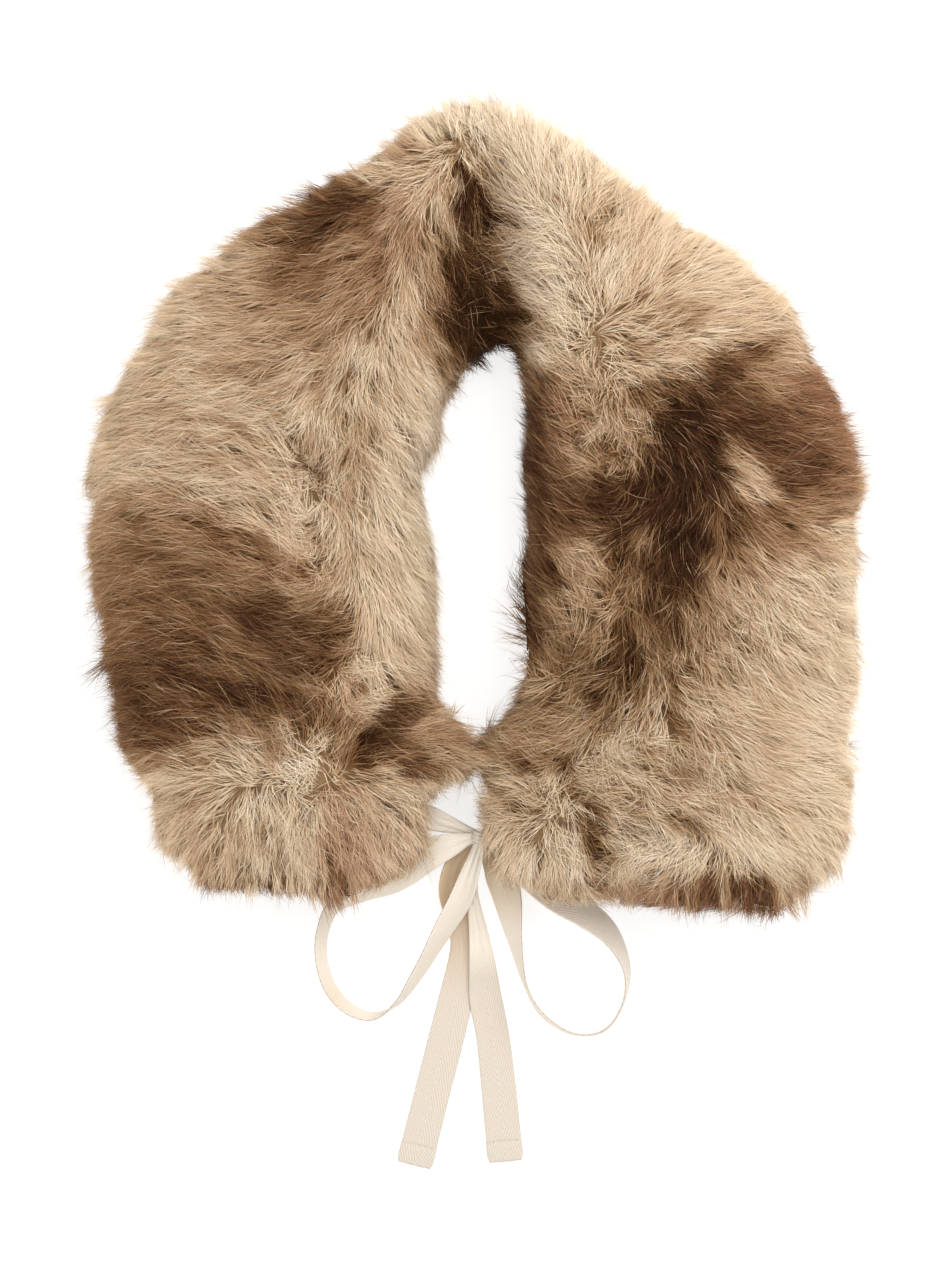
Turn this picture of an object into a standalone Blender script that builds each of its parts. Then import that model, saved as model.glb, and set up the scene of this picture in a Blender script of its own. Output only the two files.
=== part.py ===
"""Fur collar wrap with twill-tape ties, laid flat in a horseshoe and tied in a bow.

Lengths in the tables are millimetres.  +Y runs from the bow to the back of the neck, +X to the
right as the collar is seen from above, and +Z up from the table that it lies on.  The origin is
the middle of the whole outline, on the table.
"""
import math
from collections import namedtuple

import bmesh
import bpy
from mathutils import Vector

MM = 0.001

# ---- driving sizes, in millimetres -------------------------------------------------------------
UNDER_HEIGHT = 18.0          # under collar, its pile pressed flat between table and upper collar
LAYER_GAP = 0.3              # between cloth layers, and across the centre-back seam
RIM_HEIGHT = 6.0             # above its underside, the level where the upper collar is widest
DROOP_RIM = 9.0              # that level where the pile falls over the edge of the under collar
DROOP_HEM = 2.5              # and how near the table the fallen pile comes there
LIP_TUCK = 3.5               # the underside of the rim starts this far in from the outline
LIP_WIDTH = 9.0              # and the pile that falls over the edge is this thick
UNDER_INSET = 11.0           # under collar, in from the upper collar's outline
UNDER_ROUND = 2.5            # rounding of its edges
OUTLINE_TUFT = 2.2           # how far the clumped pile waves in and out along the outline
PILE_WAVE = 1.5              # height of the soft lumps of the clumped pile
TUFTS_PER_ARM = 13
TAPE_THICKNESS = 1.0
TAPE_LIE = 0.7               # middle of a tape that lies flat on the table
HEM_LENGTH = 9.0             # end of each tail, turned under and stitched down
HEM_THICKNESS = 2.0
KNOT_SIZE = (8.0, 9.0, 12.0)
KNOT_CENTRE = (0.9, -92.6, 13.5)

# ---- how finely the shapes are drawn -----------------------------------------------------------
UPPER_STEPS_PER_ROW = 4
UNDER_STEPS_PER_ROW = 2
TAPE_STEPS_PER_ROW = 5
UPPER_TOP_POINTS = 20
UNDER_FLAT_POINTS = 6

# ---- the two arms, a row for each cut from the neck edge to the outline --------------------------
# crest_at: where along the cut the pile stands highest, 0 at the neck and 1 at the outline.
# neck_round, outer_round: 2 is a round shoulder, 1 a straight slope.
# droop: 1 where the pile falls over the edge of the under collar, 0 where it stops above it.
ArmCut = namedtuple("ArmCut", "neck_x neck_y outer_x outer_y crest_at crest_height"
                              " neck_round outer_round neck_droop outer_droop")

LEFT_ARM = [
    ArmCut(11.7, 130.0, 2.1, 243.0, 0.80, 42.0, 1.00, 2.0, 1, 1),
    ArmCut(2.0, 123.5, -16.5, 241.0, 0.72, 50.0, 1.10, 2.0, 1, 1),
    ArmCut(-9.0, 113.5, -39.5, 231.5, 0.60, 56.0, 1.60, 2.0, 1, 1),
    ArmCut(-14.0, 102.0, -69.0, 206.5, 0.44, 58.0, 2.10, 2.0, 1, 1),
    ArmCut(-15.5, 89.0, -101.0, 186.5, 0.36, 58.0, 2.20, 2.0, 1, 1),
    ArmCut(-21.0, 76.5, -131.0, 163.0, 0.32, 58.0, 2.20, 2.0, 1, 1),
    ArmCut(-21.8, 65.0, -152.0, 141.0, 0.32, 57.0, 2.20, 2.0, 1, 1),
    ArmCut(-21.0, 51.5, -168.5, 109.0, 0.34, 57.0, 2.20, 2.0, 1, 1),
    ArmCut(-18.5, 33.5, -176.8, 70.0, 0.32, 57.0, 2.20, 2.0, 1, 1),
    ArmCut(-16.7, 11.0, -176.5, 29.0, 0.31, 58.0, 2.20, 2.0, 1, 1),
    ArmCut(-14.0, -8.0, -171.0, -9.5, 0.32, 58.0, 2.20, 2.0, 1, 1),
    ArmCut(-12.5, -30.0, -166.5, -46.0, 0.35, 57.0, 2.20, 2.0, 1, 1),
    ArmCut(-2.0, -50.5, -151.5, -78.0, 0.44, 56.0, 2.10, 2.0, 1, 1),
    ArmCut(-3.0, -66.0, -142.0, -103.5, 0.50, 52.0, 2.00, 2.0, 0, 1),
    ArmCut(-17.5, -78.5, -126.0, -116.0, 0.50, 46.0, 2.00, 2.0, 0, 0),
    ArmCut(-21.5, -98.0, -98.5, -120.0, 0.50, 38.0, 2.00, 2.0, 0, 0),
    ArmCut(-35.0, -111.0, -67.0, -123.0, 0.50, 29.0, 2.00, 2.0, 0, 0),
]

RIGHT_ARM = [
    ArmCut(12.2, 130.0, 2.6, 243.0, 0.80, 42.0, 1.00, 2.0, 1, 1),
    ArmCut(19.5, 124.0, 20.0, 239.5, 0.68, 52.0, 1.15, 2.0, 1, 1),
    ArmCut(22.5, 113.5, 45.0, 228.0, 0.54, 57.0, 1.70, 2.0, 1, 1),
    ArmCut(22.5, 100.0, 74.5, 203.5, 0.47, 58.0, 2.00, 2.0, 1, 1),
    ArmCut(21.5, 86.5, 104.0, 183.0, 0.42, 58.0, 2.10, 2.0, 1, 1),
    ArmCut(20.5, 72.5, 130.5, 164.0, 0.38, 59.0, 2.20, 2.0, 1, 1),
    ArmCut(21.5, 59.0, 151.5, 139.0, 0.34, 59.0, 2.20, 2.0, 1, 1),
    ArmCut(21.5, 43.0, 166.5, 109.0, 0.33, 58.0, 2.20, 2.0, 1, 1),
    ArmCut(19.0, 28.5, 175.5, 77.0, 0.35, 58.0, 2.20, 2.0, 1, 1),
    ArmCut(22.0, 13.0, 176.5, 43.0, 0.36, 59.0, 2.20, 2.0, 1, 1),
    ArmCut(22.5, -7.5, 175.5, 4.0, 0.38, 59.0, 2.20, 2.0, 1, 1),
    ArmCut(18.0, -28.5, 172.5, -30.0, 0.42, 58.0, 2.20, 2.0, 1, 1),
    ArmCut(3.0, -50.0, 171.0, -62.0, 0.46, 57.0, 2.10, 2.0, 1, 1),
    ArmCut(0.5, -68.5, 171.0, -92.0, 0.48, 55.0, 2.10, 2.0, 0, 1),
    ArmCut(3.5, -83.0, 160.0, -114.0, 0.50, 51.0, 2.00, 2.0, 0, 0),
    ArmCut(8.5, -96.5, 136.0, -125.0, 0.50, 45.0, 2.00, 2.0, 0, 0),
    ArmCut(16.0, -107.5, 101.0, -126.5, 0.48, 38.0, 2.00, 2.0, 0, 0),
    ArmCut(37.0, -117.0, 74.5, -123.5, 0.50, 29.0, 2.00, 2.0, 0, 0),
]

# The under collar follows the first cuts of its arm, moved in along them.  Its front end has cuts
# of its own: it stops short of the tapes, and at the right outer corner its pile shows.
UnderCut = namedtuple("UnderCut", "neck_x neck_y outer_x outer_y")
LEFT_UNDER_CUTS = 13
RIGHT_UNDER_CUTS = 14
LEFT_UNDER_END = [
    UnderCut(-16.5, -68.5, -131.5, -99.0),
    UnderCut(-27.5, -79.0, -119.0, -107.5),
    UnderCut(-42.0, -94.0, -98.0, -112.0),
]
RIGHT_UNDER_END = [
    UnderCut(16.5, -86.0, 149.0, -105.0),
    UnderCut(25.0, -94.0, 147.0, -117.0),
    UnderCut(66.0, -117.5, 138.0, -131.5),
]

# Folds and partings of the pile: soft troughs in the upper surface.
# heading: degrees from +X that the trough runs along.
Trough = namedtuple("Trough", "x y length width heading depth")
TROUGHS = [
    Trough(-74.0, 75.0, 50.0, 13.0, -62.0, 6.0),
    Trough(-68.0, 20.0, 70.0, 14.0, -85.0, 4.0),
    Trough(-100.0, 122.0, 56.0, 16.0, 25.0, 3.0),
    Trough(-105.0, -92.0, 40.0, 13.0, -75.0, 4.0),
    Trough(-40.0, -20.0, 60.0, 16.0, -50.0, 3.0),
    Trough(57.0, -104.0, 44.0, 12.0, 80.0, 7.0),
    Trough(58.0, 128.0, 46.0, 13.0, 35.0, 4.0),
    Trough(80.0, 10.0, 70.0, 14.0, -72.0, 4.0),
    Trough(105.0, -70.0, 56.0, 14.0, -60.0, 5.0),
    Trough(120.0, 90.0, 56.0, 16.0, 20.0, 3.0),
]

# ---- the tapes, a row for each place where the tape bends or turns ------------------------------
# roll: degrees that the tape is turned about its own length, 0 flat and 90 on edge.
TapeRow = namedtuple("TapeRow", "x y z width roll")
TIE_ROOT = UNDER_HEIGHT - 0.5 * TAPE_THICKNESS    # a tie is stitched up against the upper collar

TIE_LEFT_BAND = [
    TapeRow(-27.2, -84.2, TIE_ROOT, 11.5, 0.0),
    TapeRow(-22.0, -85.2, 16.8, 11.5, -8.0),
    TapeRow(-16.0, -86.7, 14.8, 11.0, -16.0),
    TapeRow(-9.6, -88.8, 12.6, 9.0, -12.0),
    TapeRow(-3.9, -91.0, 11.5, 6.0, 0.0),
]
TIE_RIGHT_BAND = [
    TapeRow(16.5, -93.0, TIE_ROOT, 9.0, 0.0),
    TapeRow(12.5, -92.6, TIE_ROOT, 9.0, 0.0),
    TapeRow(8.8, -92.1, 16.6, 8.0, 0.0),
    TapeRow(5.2, -91.8, 15.4, 6.0, 0.0),
]
BOW_LOOP_LEFT = [
    TapeRow(-4.8, -93.6, 16.0, 6.0, 0.0),
    TapeRow(-12.0, -96.8, 15.4, 12.5, 6.0),
    TapeRow(-23.5, -102.5, 13.6, 16.0, 12.0),
    TapeRow(-37.5, -112.0, 11.2, 16.0, 36.0),
    TapeRow(-52.0, -119.5, 9.4, 16.0, 60.0),
    TapeRow(-64.5, -125.0, 8.8, 16.0, 64.0),
    TapeRow(-70.5, -133.5, 8.6, 16.0, 64.0),
    TapeRow(-71.8, -146.0, 8.6, 16.0, 65.0),
    TapeRow(-67.5, -159.0, 8.6, 16.0, 64.0),
    TapeRow(-58.5, -169.0, 8.6, 16.0, 68.0),
    TapeRow(-47.0, -173.2, 8.8, 16.0, 80.0),
    TapeRow(-36.0, -167.5, 8.9, 16.0, 104.0),
    TapeRow(-26.5, -153.5, 9.4, 16.0, 120.0),
    TapeRow(-17.5, -136.5, 11.8, 16.0, 136.0),
    TapeRow(-8.5, -121.0, 15.0, 15.0, 148.0),
    TapeRow(-3.2, -109.0, 17.0, 11.0, 162.0),
    TapeRow(-0.4, -98.2, 17.6, 6.0, 180.0),
]
BOW_LOOP_RIGHT = [
    TapeRow(4.6, -98.4, 8.0, 6.0, 0.0),
    TapeRow(7.6, -103.0, 7.2, 12.0, -4.0),
    TapeRow(11.4, -109.5, 6.4, 16.0, -14.0),
    TapeRow(14.6, -123.0, 6.6, 16.0, -38.0),
    TapeRow(17.6, -140.0, 8.4, 16.0, -66.0),
    TapeRow(22.8, -160.0, 8.8, 16.0, -84.0),
    TapeRow(31.0, -174.0, 8.8, 16.0, -78.0),
    TapeRow(44.5, -182.6, 8.8, 16.0, -80.0),
    TapeRow(58.5, -181.6, 8.8, 16.0, -84.0),
    TapeRow(67.0, -169.5, 8.8, 16.0, -86.0),
    TapeRow(68.8, -154.0, 8.8, 16.0, -78.0),
    TapeRow(63.0, -138.5, 9.0, 16.0, -56.0),
    TapeRow(51.5, -128.0, 8.6, 16.0, -34.0),
    TapeRow(37.0, -119.5, 9.4, 16.0, -14.0),
    TapeRow(24.0, -110.0, 11.4, 13.0, 0.0),
    TapeRow(13.0, -99.5, 12.4, 9.0, 0.0),
    TapeRow(5.9, -94.6, 12.2, 6.0, 0.0),
]
TAIL_LEFT = [
    TapeRow(-2.4, -98.4, 9.2, 6.0, 0.0),
    TapeRow(-6.2, -103.0, 8.0, 11.0, 20.0),
    TapeRow(-10.5, -111.0, 6.2, 15.0, 38.0),
    TapeRow(-11.5, -121.0, 4.4, 16.0, 26.0),
    TapeRow(-8.6, -133.0, 1.6, 16.0, 6.0),
    TapeRow(-7.5, -146.0, 0.7, 16.0, 0.0),
    TapeRow(-10.0, -166.0, 0.7, 16.0, 0.0),
    TapeRow(-16.0, -192.0, 0.7, 16.0, 0.0),
    TapeRow(-22.4, -218.0, 0.7, 16.0, 0.0),
    TapeRow(-28.4, -242.4, 0.7, 16.0, 0.0),
]
TAIL_RIGHT = [
    TapeRow(2.0, -98.8, 13.0, 6.0, 0.0),
    TapeRow(-0.6, -106.5, 11.2, 9.0, -4.0),
    TapeRow(-1.2, -114.5, 9.8, 13.0, -4.0),
    TapeRow(-1.2, -123.0, 7.8, 15.5, 0.0),
    TapeRow(0.8, -136.0, 4.8, 16.0, 4.0),
    TapeRow(3.0, -152.0, 3.0, 16.0, 4.0),
    TapeRow(6.0, -174.0, 1.6, 16.0, 2.0),
    TapeRow(9.2, -198.0, 0.7, 16.0, 0.0),
    TapeRow(11.4, -220.0, 0.7, 16.0, 0.0),
    TapeRow(13.2, -240.2, 0.7, 16.0, 0.0),
]


def clear_scene():
    """Remove what the file opened with."""
    for old in list(bpy.data.objects):
        bpy.data.objects.remove(old, do_unlink=True)


def make_collection(name):
    collection = bpy.data.collections.new(name)
    bpy.context.scene.collection.children.link(collection)
    return collection


def make_material(name, colour, roughness, metallic=0.0):
    material = bpy.data.materials.new(name)
    material.use_nodes = True
    shader = material.node_tree.nodes["Principled BSDF"]
    shader.inputs["Base Color"].default_value = (*colour, 1.0)
    shader.inputs["Roughness"].default_value = roughness
    shader.inputs["Metallic"].default_value = metallic
    material.diffuse_color = (*colour, 1.0)
    return material


def smooth_rows(rows, steps):
    """Rows on one smooth curve through the table's rows, `steps` between each two."""
    kind = type(rows[0])
    drawn = []
    for i in range(len(rows) - 1):
        before = rows[max(i - 1, 0)]
        start = rows[i]
        end = rows[i + 1]
        after = rows[min(i + 2, len(rows) - 1)]
        for k in range(steps):
            f = k / steps
            weights = (
                -0.5 * f**3 + f**2 - 0.5 * f,
                1.5 * f**3 - 2.5 * f**2 + 1.0,
                -1.5 * f**3 + 2.0 * f**2 + 0.5 * f,
                0.5 * f**3 - 0.5 * f**2,
            )
            columns = zip(before, start, end, after)
            drawn.append(kind(*(sum(w * v for w, v in zip(weights, column)) for column in columns)))
    drawn.append(rows[-1])
    return drawn


def loft(name, rings, collection, material):
    """One closed solid through rings of equal length, with a flat face on each end."""
    bm = bmesh.new()
    loops = [[bm.verts.new(Vector(point) * MM) for point in ring] for ring in rings]
    count = len(rings[0])
    for near, far in zip(loops, loops[1:]):
        for k in range(count):
            n = (k + 1) % count
            bm.faces.new((near[k], near[n], far[n], far[k]))
    bm.faces.new(loops[0])
    bm.faces.new(loops[-1])
    bmesh.ops.recalc_face_normals(bm, faces=bm.faces)
    mesh = bpy.data.meshes.new(name)
    bm.to_mesh(mesh)
    bm.free()
    mesh.shade_smooth()
    mesh.set_sharp_from_angle(angle=math.radians(50))
    mesh.materials.append(material)
    solid = bpy.data.objects.new(name, mesh)
    collection.objects.link(solid)
    return solid


def crest_profile(t, cut):
    """Height of the pile at t along a cut, 1 at the crest and 0 at the neck edge and the outline."""
    if t < cut.crest_at:
        power = cut.neck_round
        away = (cut.crest_at - t) / cut.crest_at
    else:
        power = cut.outer_round
        away = (t - cut.crest_at) / (1.0 - cut.crest_at)
    return max(0.0, 1.0 - min(away, 1.0) ** power) ** (1.0 / power)


def trough_depth(x, y):
    """How far the partings of the pile sink the upper surface at a place in plan."""
    depth = 0.0
    for trough in TROUGHS:
        heading = math.radians(trough.heading)
        along = (x - trough.x) * math.cos(heading) + (y - trough.y) * math.sin(heading)
        across = (y - trough.y) * math.cos(heading) - (x - trough.x) * math.sin(heading)
        fade = math.exp(-((2.0 * along / trough.length) ** 2) - (2.0 * across / trough.width) ** 2)
        depth += trough.depth * fade
    return depth


def pile_waves(along, across):
    """Uneven lumps of the clumped pile, between about -1 and 1."""
    waves = math.sin(along + 4.0 * across)
    waves += 0.7 * math.sin(1.73 * along - 6.0 * across + 1.1)
    waves += 0.5 * math.sin(2.61 * along + 9.0 * across + 2.3)
    return waves / 1.6


def lerp(start, end, f):
    return start + (end - start) * f


def upper_ring(cut, phase):
    """One cut of the upper collar: neck edge, over the crest, to the outline and back below."""
    base = UNDER_HEIGHT + LAYER_GAP
    neck = Vector((cut.neck_x, cut.neck_y))
    outer = Vector((cut.outer_x, cut.outer_y))
    width = (outer - neck).length
    outward = (outer - neck) / width
    shoulder = base + RIM_HEIGHT
    neck_rim = lerp(shoulder, DROOP_RIM, cut.neck_droop)
    outer_rim = lerp(shoulder, DROOP_RIM, cut.outer_droop)
    tuft = OUTLINE_TUFT * pile_waves(phase, 0.0)
    fade = min(1.0, (cut.crest_height - base) / 30.0)
    ring = []
    for k in range(UPPER_TOP_POINTS):
        t = 0.5 - 0.5 * math.cos(math.pi * k / (UPPER_TOP_POINTS - 1))
        place = neck + outward * (t * width + tuft * t**3)
        lift = crest_profile(t, cut)
        rim = neck_rim if t < cut.crest_at else outer_rim
        from_edge = min(1.0, width * min(t, 1.0 - t) / LIP_WIDTH)
        height = lerp(rim, shoulder, math.sqrt(1.0 - (1.0 - from_edge) ** 2))
        height += (cut.crest_height - shoulder) * lift
        height += (PILE_WAVE * pile_waves(phase, t) - trough_depth(place.x, place.y)) * lift * fade
        ring.append((place.x, place.y, height))
    outer_hem = lerp(base, DROOP_HEM, cut.outer_droop)
    neck_hem = lerp(base, DROOP_HEM, cut.neck_droop)
    lip = LIP_WIDTH - LIP_TUCK
    below = (
        (width - LIP_TUCK, outer_hem),
        (width - LIP_TUCK - 0.7 * lip, outer_hem),
        (width - LIP_WIDTH, lerp(outer_hem, base, 0.4)),
        (width - LIP_WIDTH, base),
        (LIP_WIDTH, base),
        (LIP_WIDTH, lerp(neck_hem, base, 0.4)),
        (LIP_TUCK + 0.7 * lip, neck_hem),
        (LIP_TUCK, neck_hem),
    )
    for reach, height in below:
        place = neck + outward * reach
        ring.append((place.x, place.y, height))
    return ring


def under_ring(cut):
    """One cut of the under collar: flat on the table, flat above, with rounded edges."""
    neck = Vector((cut.neck_x, cut.neck_y))
    outer = Vector((cut.outer_x, cut.outer_y))
    width = (outer - neck).length
    outward = (outer - neck) / width
    edge = (
        (UNDER_ROUND, 0.0),
        (0.2 * UNDER_ROUND, 0.2 * UNDER_HEIGHT),
        (0.0, 0.5 * UNDER_HEIGHT),
        (0.2 * UNDER_ROUND, 0.8 * UNDER_HEIGHT),
        (UNDER_ROUND, UNDER_HEIGHT),
    )
    ring = []
    for inset, height in edge:
        place = neck + outward * inset
        ring.append((place.x, place.y, height))
    for k in range(1, UNDER_FLAT_POINTS):
        place = neck + outward * (UNDER_ROUND + (width - 2.0 * UNDER_ROUND) * k / UNDER_FLAT_POINTS)
        ring.append((place.x, place.y, UNDER_HEIGHT))
    for inset, height in reversed(edge):
        place = outer - outward * inset
        ring.append((place.x, place.y, height))
    for k in range(1, UNDER_FLAT_POINTS):
        place = outer - outward * (UNDER_ROUND + (width - 2.0 * UNDER_ROUND) * k / UNDER_FLAT_POINTS)
        ring.append((place.x, place.y, 0.0))
    return ring


def make_upper(name, table, collection, material):
    cuts = smooth_rows(table, UPPER_STEPS_PER_ROW)
    turn = 2.0 * math.pi * TUFTS_PER_ARM / (len(cuts) - 1)
    rings = [upper_ring(cut, i * turn) for i, cut in enumerate(cuts)]
    return loft(name, rings, collection, material)


def make_under(name, table, kept, end_rows, collection, material):
    rows = []
    for cut in table[:kept]:
        neck = Vector((cut.neck_x, cut.neck_y))
        outer = Vector((cut.outer_x, cut.outer_y))
        outward = (outer - neck).normalized()
        neck += outward * UNDER_INSET
        outer -= outward * UNDER_INSET
        rows.append(UnderCut(neck.x, neck.y, outer.x, outer.y))
    cuts = smooth_rows(rows + end_rows, UNDER_STEPS_PER_ROW)
    return loft(name, [under_ring(cut) for cut in cuts], collection, material)


def make_tape(name, table, collection, material, hemmed=False):
    """A tape of the table's widths, turned by its rolls, along a smooth path."""
    rows = smooth_rows(table, TAPE_STEPS_PER_ROW)
    middles = [Vector((row.x, row.y, max(row.z, TAPE_LIE))) for row in rows]
    end = middles[-1]
    rings = []
    for i, row in enumerate(rows):
        ahead = middles[min(i + 1, len(rows) - 1)] - middles[max(i - 1, 0)]
        ahead.normalize()
        flat_across = ahead.cross(Vector((0.0, 0.0, 1.0))).normalized()
        upright = flat_across.cross(ahead)
        roll = math.radians(row.roll)
        across = flat_across * math.cos(roll) + upright * math.sin(roll)
        facing = across.cross(ahead)
        in_hem = hemmed and (middles[i] - end).length < HEM_LENGTH
        thickness = HEM_THICKNESS if in_hem else TAPE_THICKNESS
        low = -0.5 * TAPE_THICKNESS
        high = low + thickness
        half = 0.5 * row.width
        corners = ((-half, low), (0.0, low), (half, low), (half, high), (0.0, high), (-half, high))
        rings.append([tuple(middles[i] + across * a + facing * f) for a, f in corners])
    return loft(name, rings, collection, material)


def make_knot(name, collection, material):
    """The crossing of the two tapes: a small lump, waisted where the last turn pulls tight."""
    mesh = bpy.data.meshes.new(name)
    bm = bmesh.new()
    bmesh.ops.create_cube(bm, size=1.0)
    bmesh.ops.subdivide_edges(bm, edges=bm.edges[:], cuts=2, use_grid_fill=True)
    for vert in bm.verts:
        waist = 1.0 - 0.14 * math.cos(math.pi * vert.co.y)
        crown = 1.0 + 0.10 * math.cos(math.pi * vert.co.x)
        vert.co.x *= waist
        vert.co.z *= crown
        vert.co = Vector(c * s for c, s in zip(vert.co, KNOT_SIZE)) + Vector(KNOT_CENTRE)
        vert.co *= MM
    bm.to_mesh(mesh)
    bm.free()
    mesh.shade_smooth()
    mesh.materials.append(material)
    knot = bpy.data.objects.new(name, mesh)
    collection.objects.link(knot)
    rounding = knot.modifiers.new("rounding", "SUBSURF")
    rounding.levels = 1
    rounding.render_levels = 1
    return knot


clear_scene()
collar = make_collection("fur_collar_wrap")

make_upper("collar_upper_left", LEFT_ARM, collar,
           make_material("fur_upper_left", (0.52, 0.38, 0.25), 0.85))
make_upper("collar_upper_right", RIGHT_ARM, collar,
           make_material("fur_upper_right", (0.48, 0.35, 0.23), 0.85))
make_under("collar_under_left", LEFT_ARM, LEFT_UNDER_CUTS, LEFT_UNDER_END, collar,
           make_material("fur_under_left", (0.30, 0.19, 0.12), 0.90))
make_under("collar_under_right", RIGHT_ARM, RIGHT_UNDER_CUTS, RIGHT_UNDER_END, collar,
           make_material("fur_under_right", (0.27, 0.17, 0.11), 0.90))

make_tape("tie_left_band", TIE_LEFT_BAND, collar, make_material("tape_band_left", (0.86, 0.78, 0.66), 0.8))
make_tape("tie_right_band", TIE_RIGHT_BAND, collar, make_material("tape_band_right", (0.80, 0.71, 0.58), 0.8))
make_tape("bow_loop_left", BOW_LOOP_LEFT, collar, make_material("tape_loop_left", (0.88, 0.81, 0.70), 0.8))
make_tape("bow_loop_right", BOW_LOOP_RIGHT, collar, make_material("tape_loop_right", (0.85, 0.77, 0.65), 0.8))
make_tape("tail_left", TAIL_LEFT, collar, make_material("tape_tail_left", (0.89, 0.82, 0.71), 0.8), hemmed=True)
make_tape("tail_right", TAIL_RIGHT, collar, make_material("tape_tail_right", (0.89, 0.82, 0.71), 0.8), hemmed=True)
make_knot("bow_knot", collar, make_material("tape_knot", (0.86, 0.79, 0.67), 0.8))
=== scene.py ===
import math
from collections import namedtuple

import bpy
import numpy as np
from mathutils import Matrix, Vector
from mathutils.bvhtree import BVHTree
from mathutils.kdtree import KDTree


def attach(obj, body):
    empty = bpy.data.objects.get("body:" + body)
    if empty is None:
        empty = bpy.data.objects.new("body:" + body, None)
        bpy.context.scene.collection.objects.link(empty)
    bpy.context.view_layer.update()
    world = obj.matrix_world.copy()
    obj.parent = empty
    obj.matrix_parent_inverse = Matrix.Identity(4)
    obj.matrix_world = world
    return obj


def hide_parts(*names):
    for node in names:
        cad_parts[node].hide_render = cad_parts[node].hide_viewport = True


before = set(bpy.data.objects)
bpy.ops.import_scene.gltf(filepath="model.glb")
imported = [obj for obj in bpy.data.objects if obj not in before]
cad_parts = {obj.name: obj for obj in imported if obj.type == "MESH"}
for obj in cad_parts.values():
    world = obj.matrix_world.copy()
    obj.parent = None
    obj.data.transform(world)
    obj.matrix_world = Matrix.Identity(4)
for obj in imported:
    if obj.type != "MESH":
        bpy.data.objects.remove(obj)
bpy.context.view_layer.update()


# ---- The table, the light and the camera --------------------------------------------------------
# The wrap lies on a white table that glows a little.  One broad lamp stands over the back right
# corner and a weaker one over the front left; white walls fill the rest, and the camera looks
# straight down.
VIEW_HEIGHT = 0.5795         # of the table that the camera takes in, from top to bottom
VIEW_LEVEL = 0.015           # height above the table at which it takes that in
VIEW_SIDE = -0.0005          # how far right of the middle it stands
LENS = 135.0
SENSOR = 36.0
TABLE_WIDTH = 5.0
TABLE_DROP = 0.0004          # table top under the lowest cloth
WALL_WHITE = (1.0, 0.99, 0.975, 1.0)
WALL_LIGHT = 0.91
TABLE_GLOW = (1.0, 0.99, 0.98, 1.0)
TABLE_GREYS = ((0.31, 0.31, 0.31, 1.0), (0.33, 0.33, 0.33, 1.0))
Lamp = namedtuple("Lamp", "name place width power")
LAMPS = [
    Lamp("lamp_back_right", (0.75, 0.95, 1.35), 1.3, 25.0),
    Lamp("lamp_front_left", (-1.30, -0.90, 1.60), 1.8, 12.0),
]

scene = bpy.context.scene
scene.view_settings.view_transform = "Standard"

camera = bpy.data.objects.new("camera", bpy.data.cameras.new("camera"))
camera.data.lens = LENS
camera.data.sensor_width = SENSOR
camera.location = (VIEW_SIDE, 0.0, VIEW_LEVEL + VIEW_HEIGHT * LENS / SENSOR)
camera.data.clip_end = 20.0
scene.collection.objects.link(camera)
scene.camera = camera

for row in LAMPS:
    lamp = bpy.data.objects.new(row.name, bpy.data.lights.new(row.name, "AREA"))
    lamp.data.size = row.width
    lamp.data.energy = row.power
    lamp.location = row.place
    lamp.rotation_euler = (-Vector(row.place)).to_track_quat("-Z", "Y").to_euler()
    scene.collection.objects.link(lamp)

scene.world = bpy.data.worlds.new("white_room")
scene.world.use_nodes = True
walls = scene.world.node_tree.nodes["Background"]
walls.inputs["Color"].default_value = WALL_WHITE
walls.inputs["Strength"].default_value = WALL_LIGHT


class Socket:
    """One output of a node.  Sums written with it become Math nodes in the same tree."""

    def __init__(self, tree, output=None):
        self.tree = tree
        self.output = output

    def node(self, kind, settings=(), values=(), out=0):
        """Any node: its settings first, then a value or a link for each of its inputs."""
        made = self.tree.nodes.new(kind)
        for name, value in dict(settings).items():
            if name == "stops":
                ramp = made.color_ramp.elements
                while len(ramp) < len(value):
                    ramp.new(0.5)
                for element, (position, colour) in zip(ramp, value):
                    element.position = position
                    element.color = colour
            else:
                setattr(made, name, value)
        for name, value in dict(values).items():
            if isinstance(value, Socket):
                self.tree.links.new(value.output, made.inputs[name])
            else:
                made.inputs[name].default_value = value
        return Socket(self.tree, made.outputs[out])

    def math(self, operation, *values):
        return self.node("ShaderNodeMath", {"operation": operation}, enumerate(values))

    def mix(self, factor, first, second):
        """A colour between two, through a Mix node."""
        return self.node("ShaderNodeMix", {"data_type": "RGBA"}, {0: factor, 6: first, 7: second}, 2)

    def part(self, k):
        """One coordinate of a vector."""
        return self.node("ShaderNodeSeparateXYZ", {}, {0: self}, k)

    def ramp(self, stops):
        """The colour that a Color Ramp with these stops gives a value."""
        return self.node("ShaderNodeValToRGB", {"stops": stops}, {0: self})

    def __add__(self, other):
        return self.math("ADD", self, other)

    def __radd__(self, other):
        return self.math("ADD", other, self)

    def __sub__(self, other):
        return self.math("SUBTRACT", self, other)

    def __rsub__(self, other):
        return self.math("SUBTRACT", other, self)

    def __mul__(self, other):
        return self.math("MULTIPLY", self, other)

    def __rmul__(self, other):
        return self.math("MULTIPLY", other, self)

    def __truediv__(self, other):
        return self.math("DIVIDE", self, other)

    def __rtruediv__(self, other):
        return self.math("DIVIDE", other, self)


def new_finish(name, settings):
    """A material whose shader has these constants, with its tree to write more in."""
    finish = bpy.data.materials.new(name)
    finish.use_nodes = True
    shader = finish.node_tree.nodes["Principled BSDF"]
    for socket, value in settings.items():
        shader.inputs[socket].default_value = value
    return finish, shader, Socket(finish.node_tree)


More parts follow.
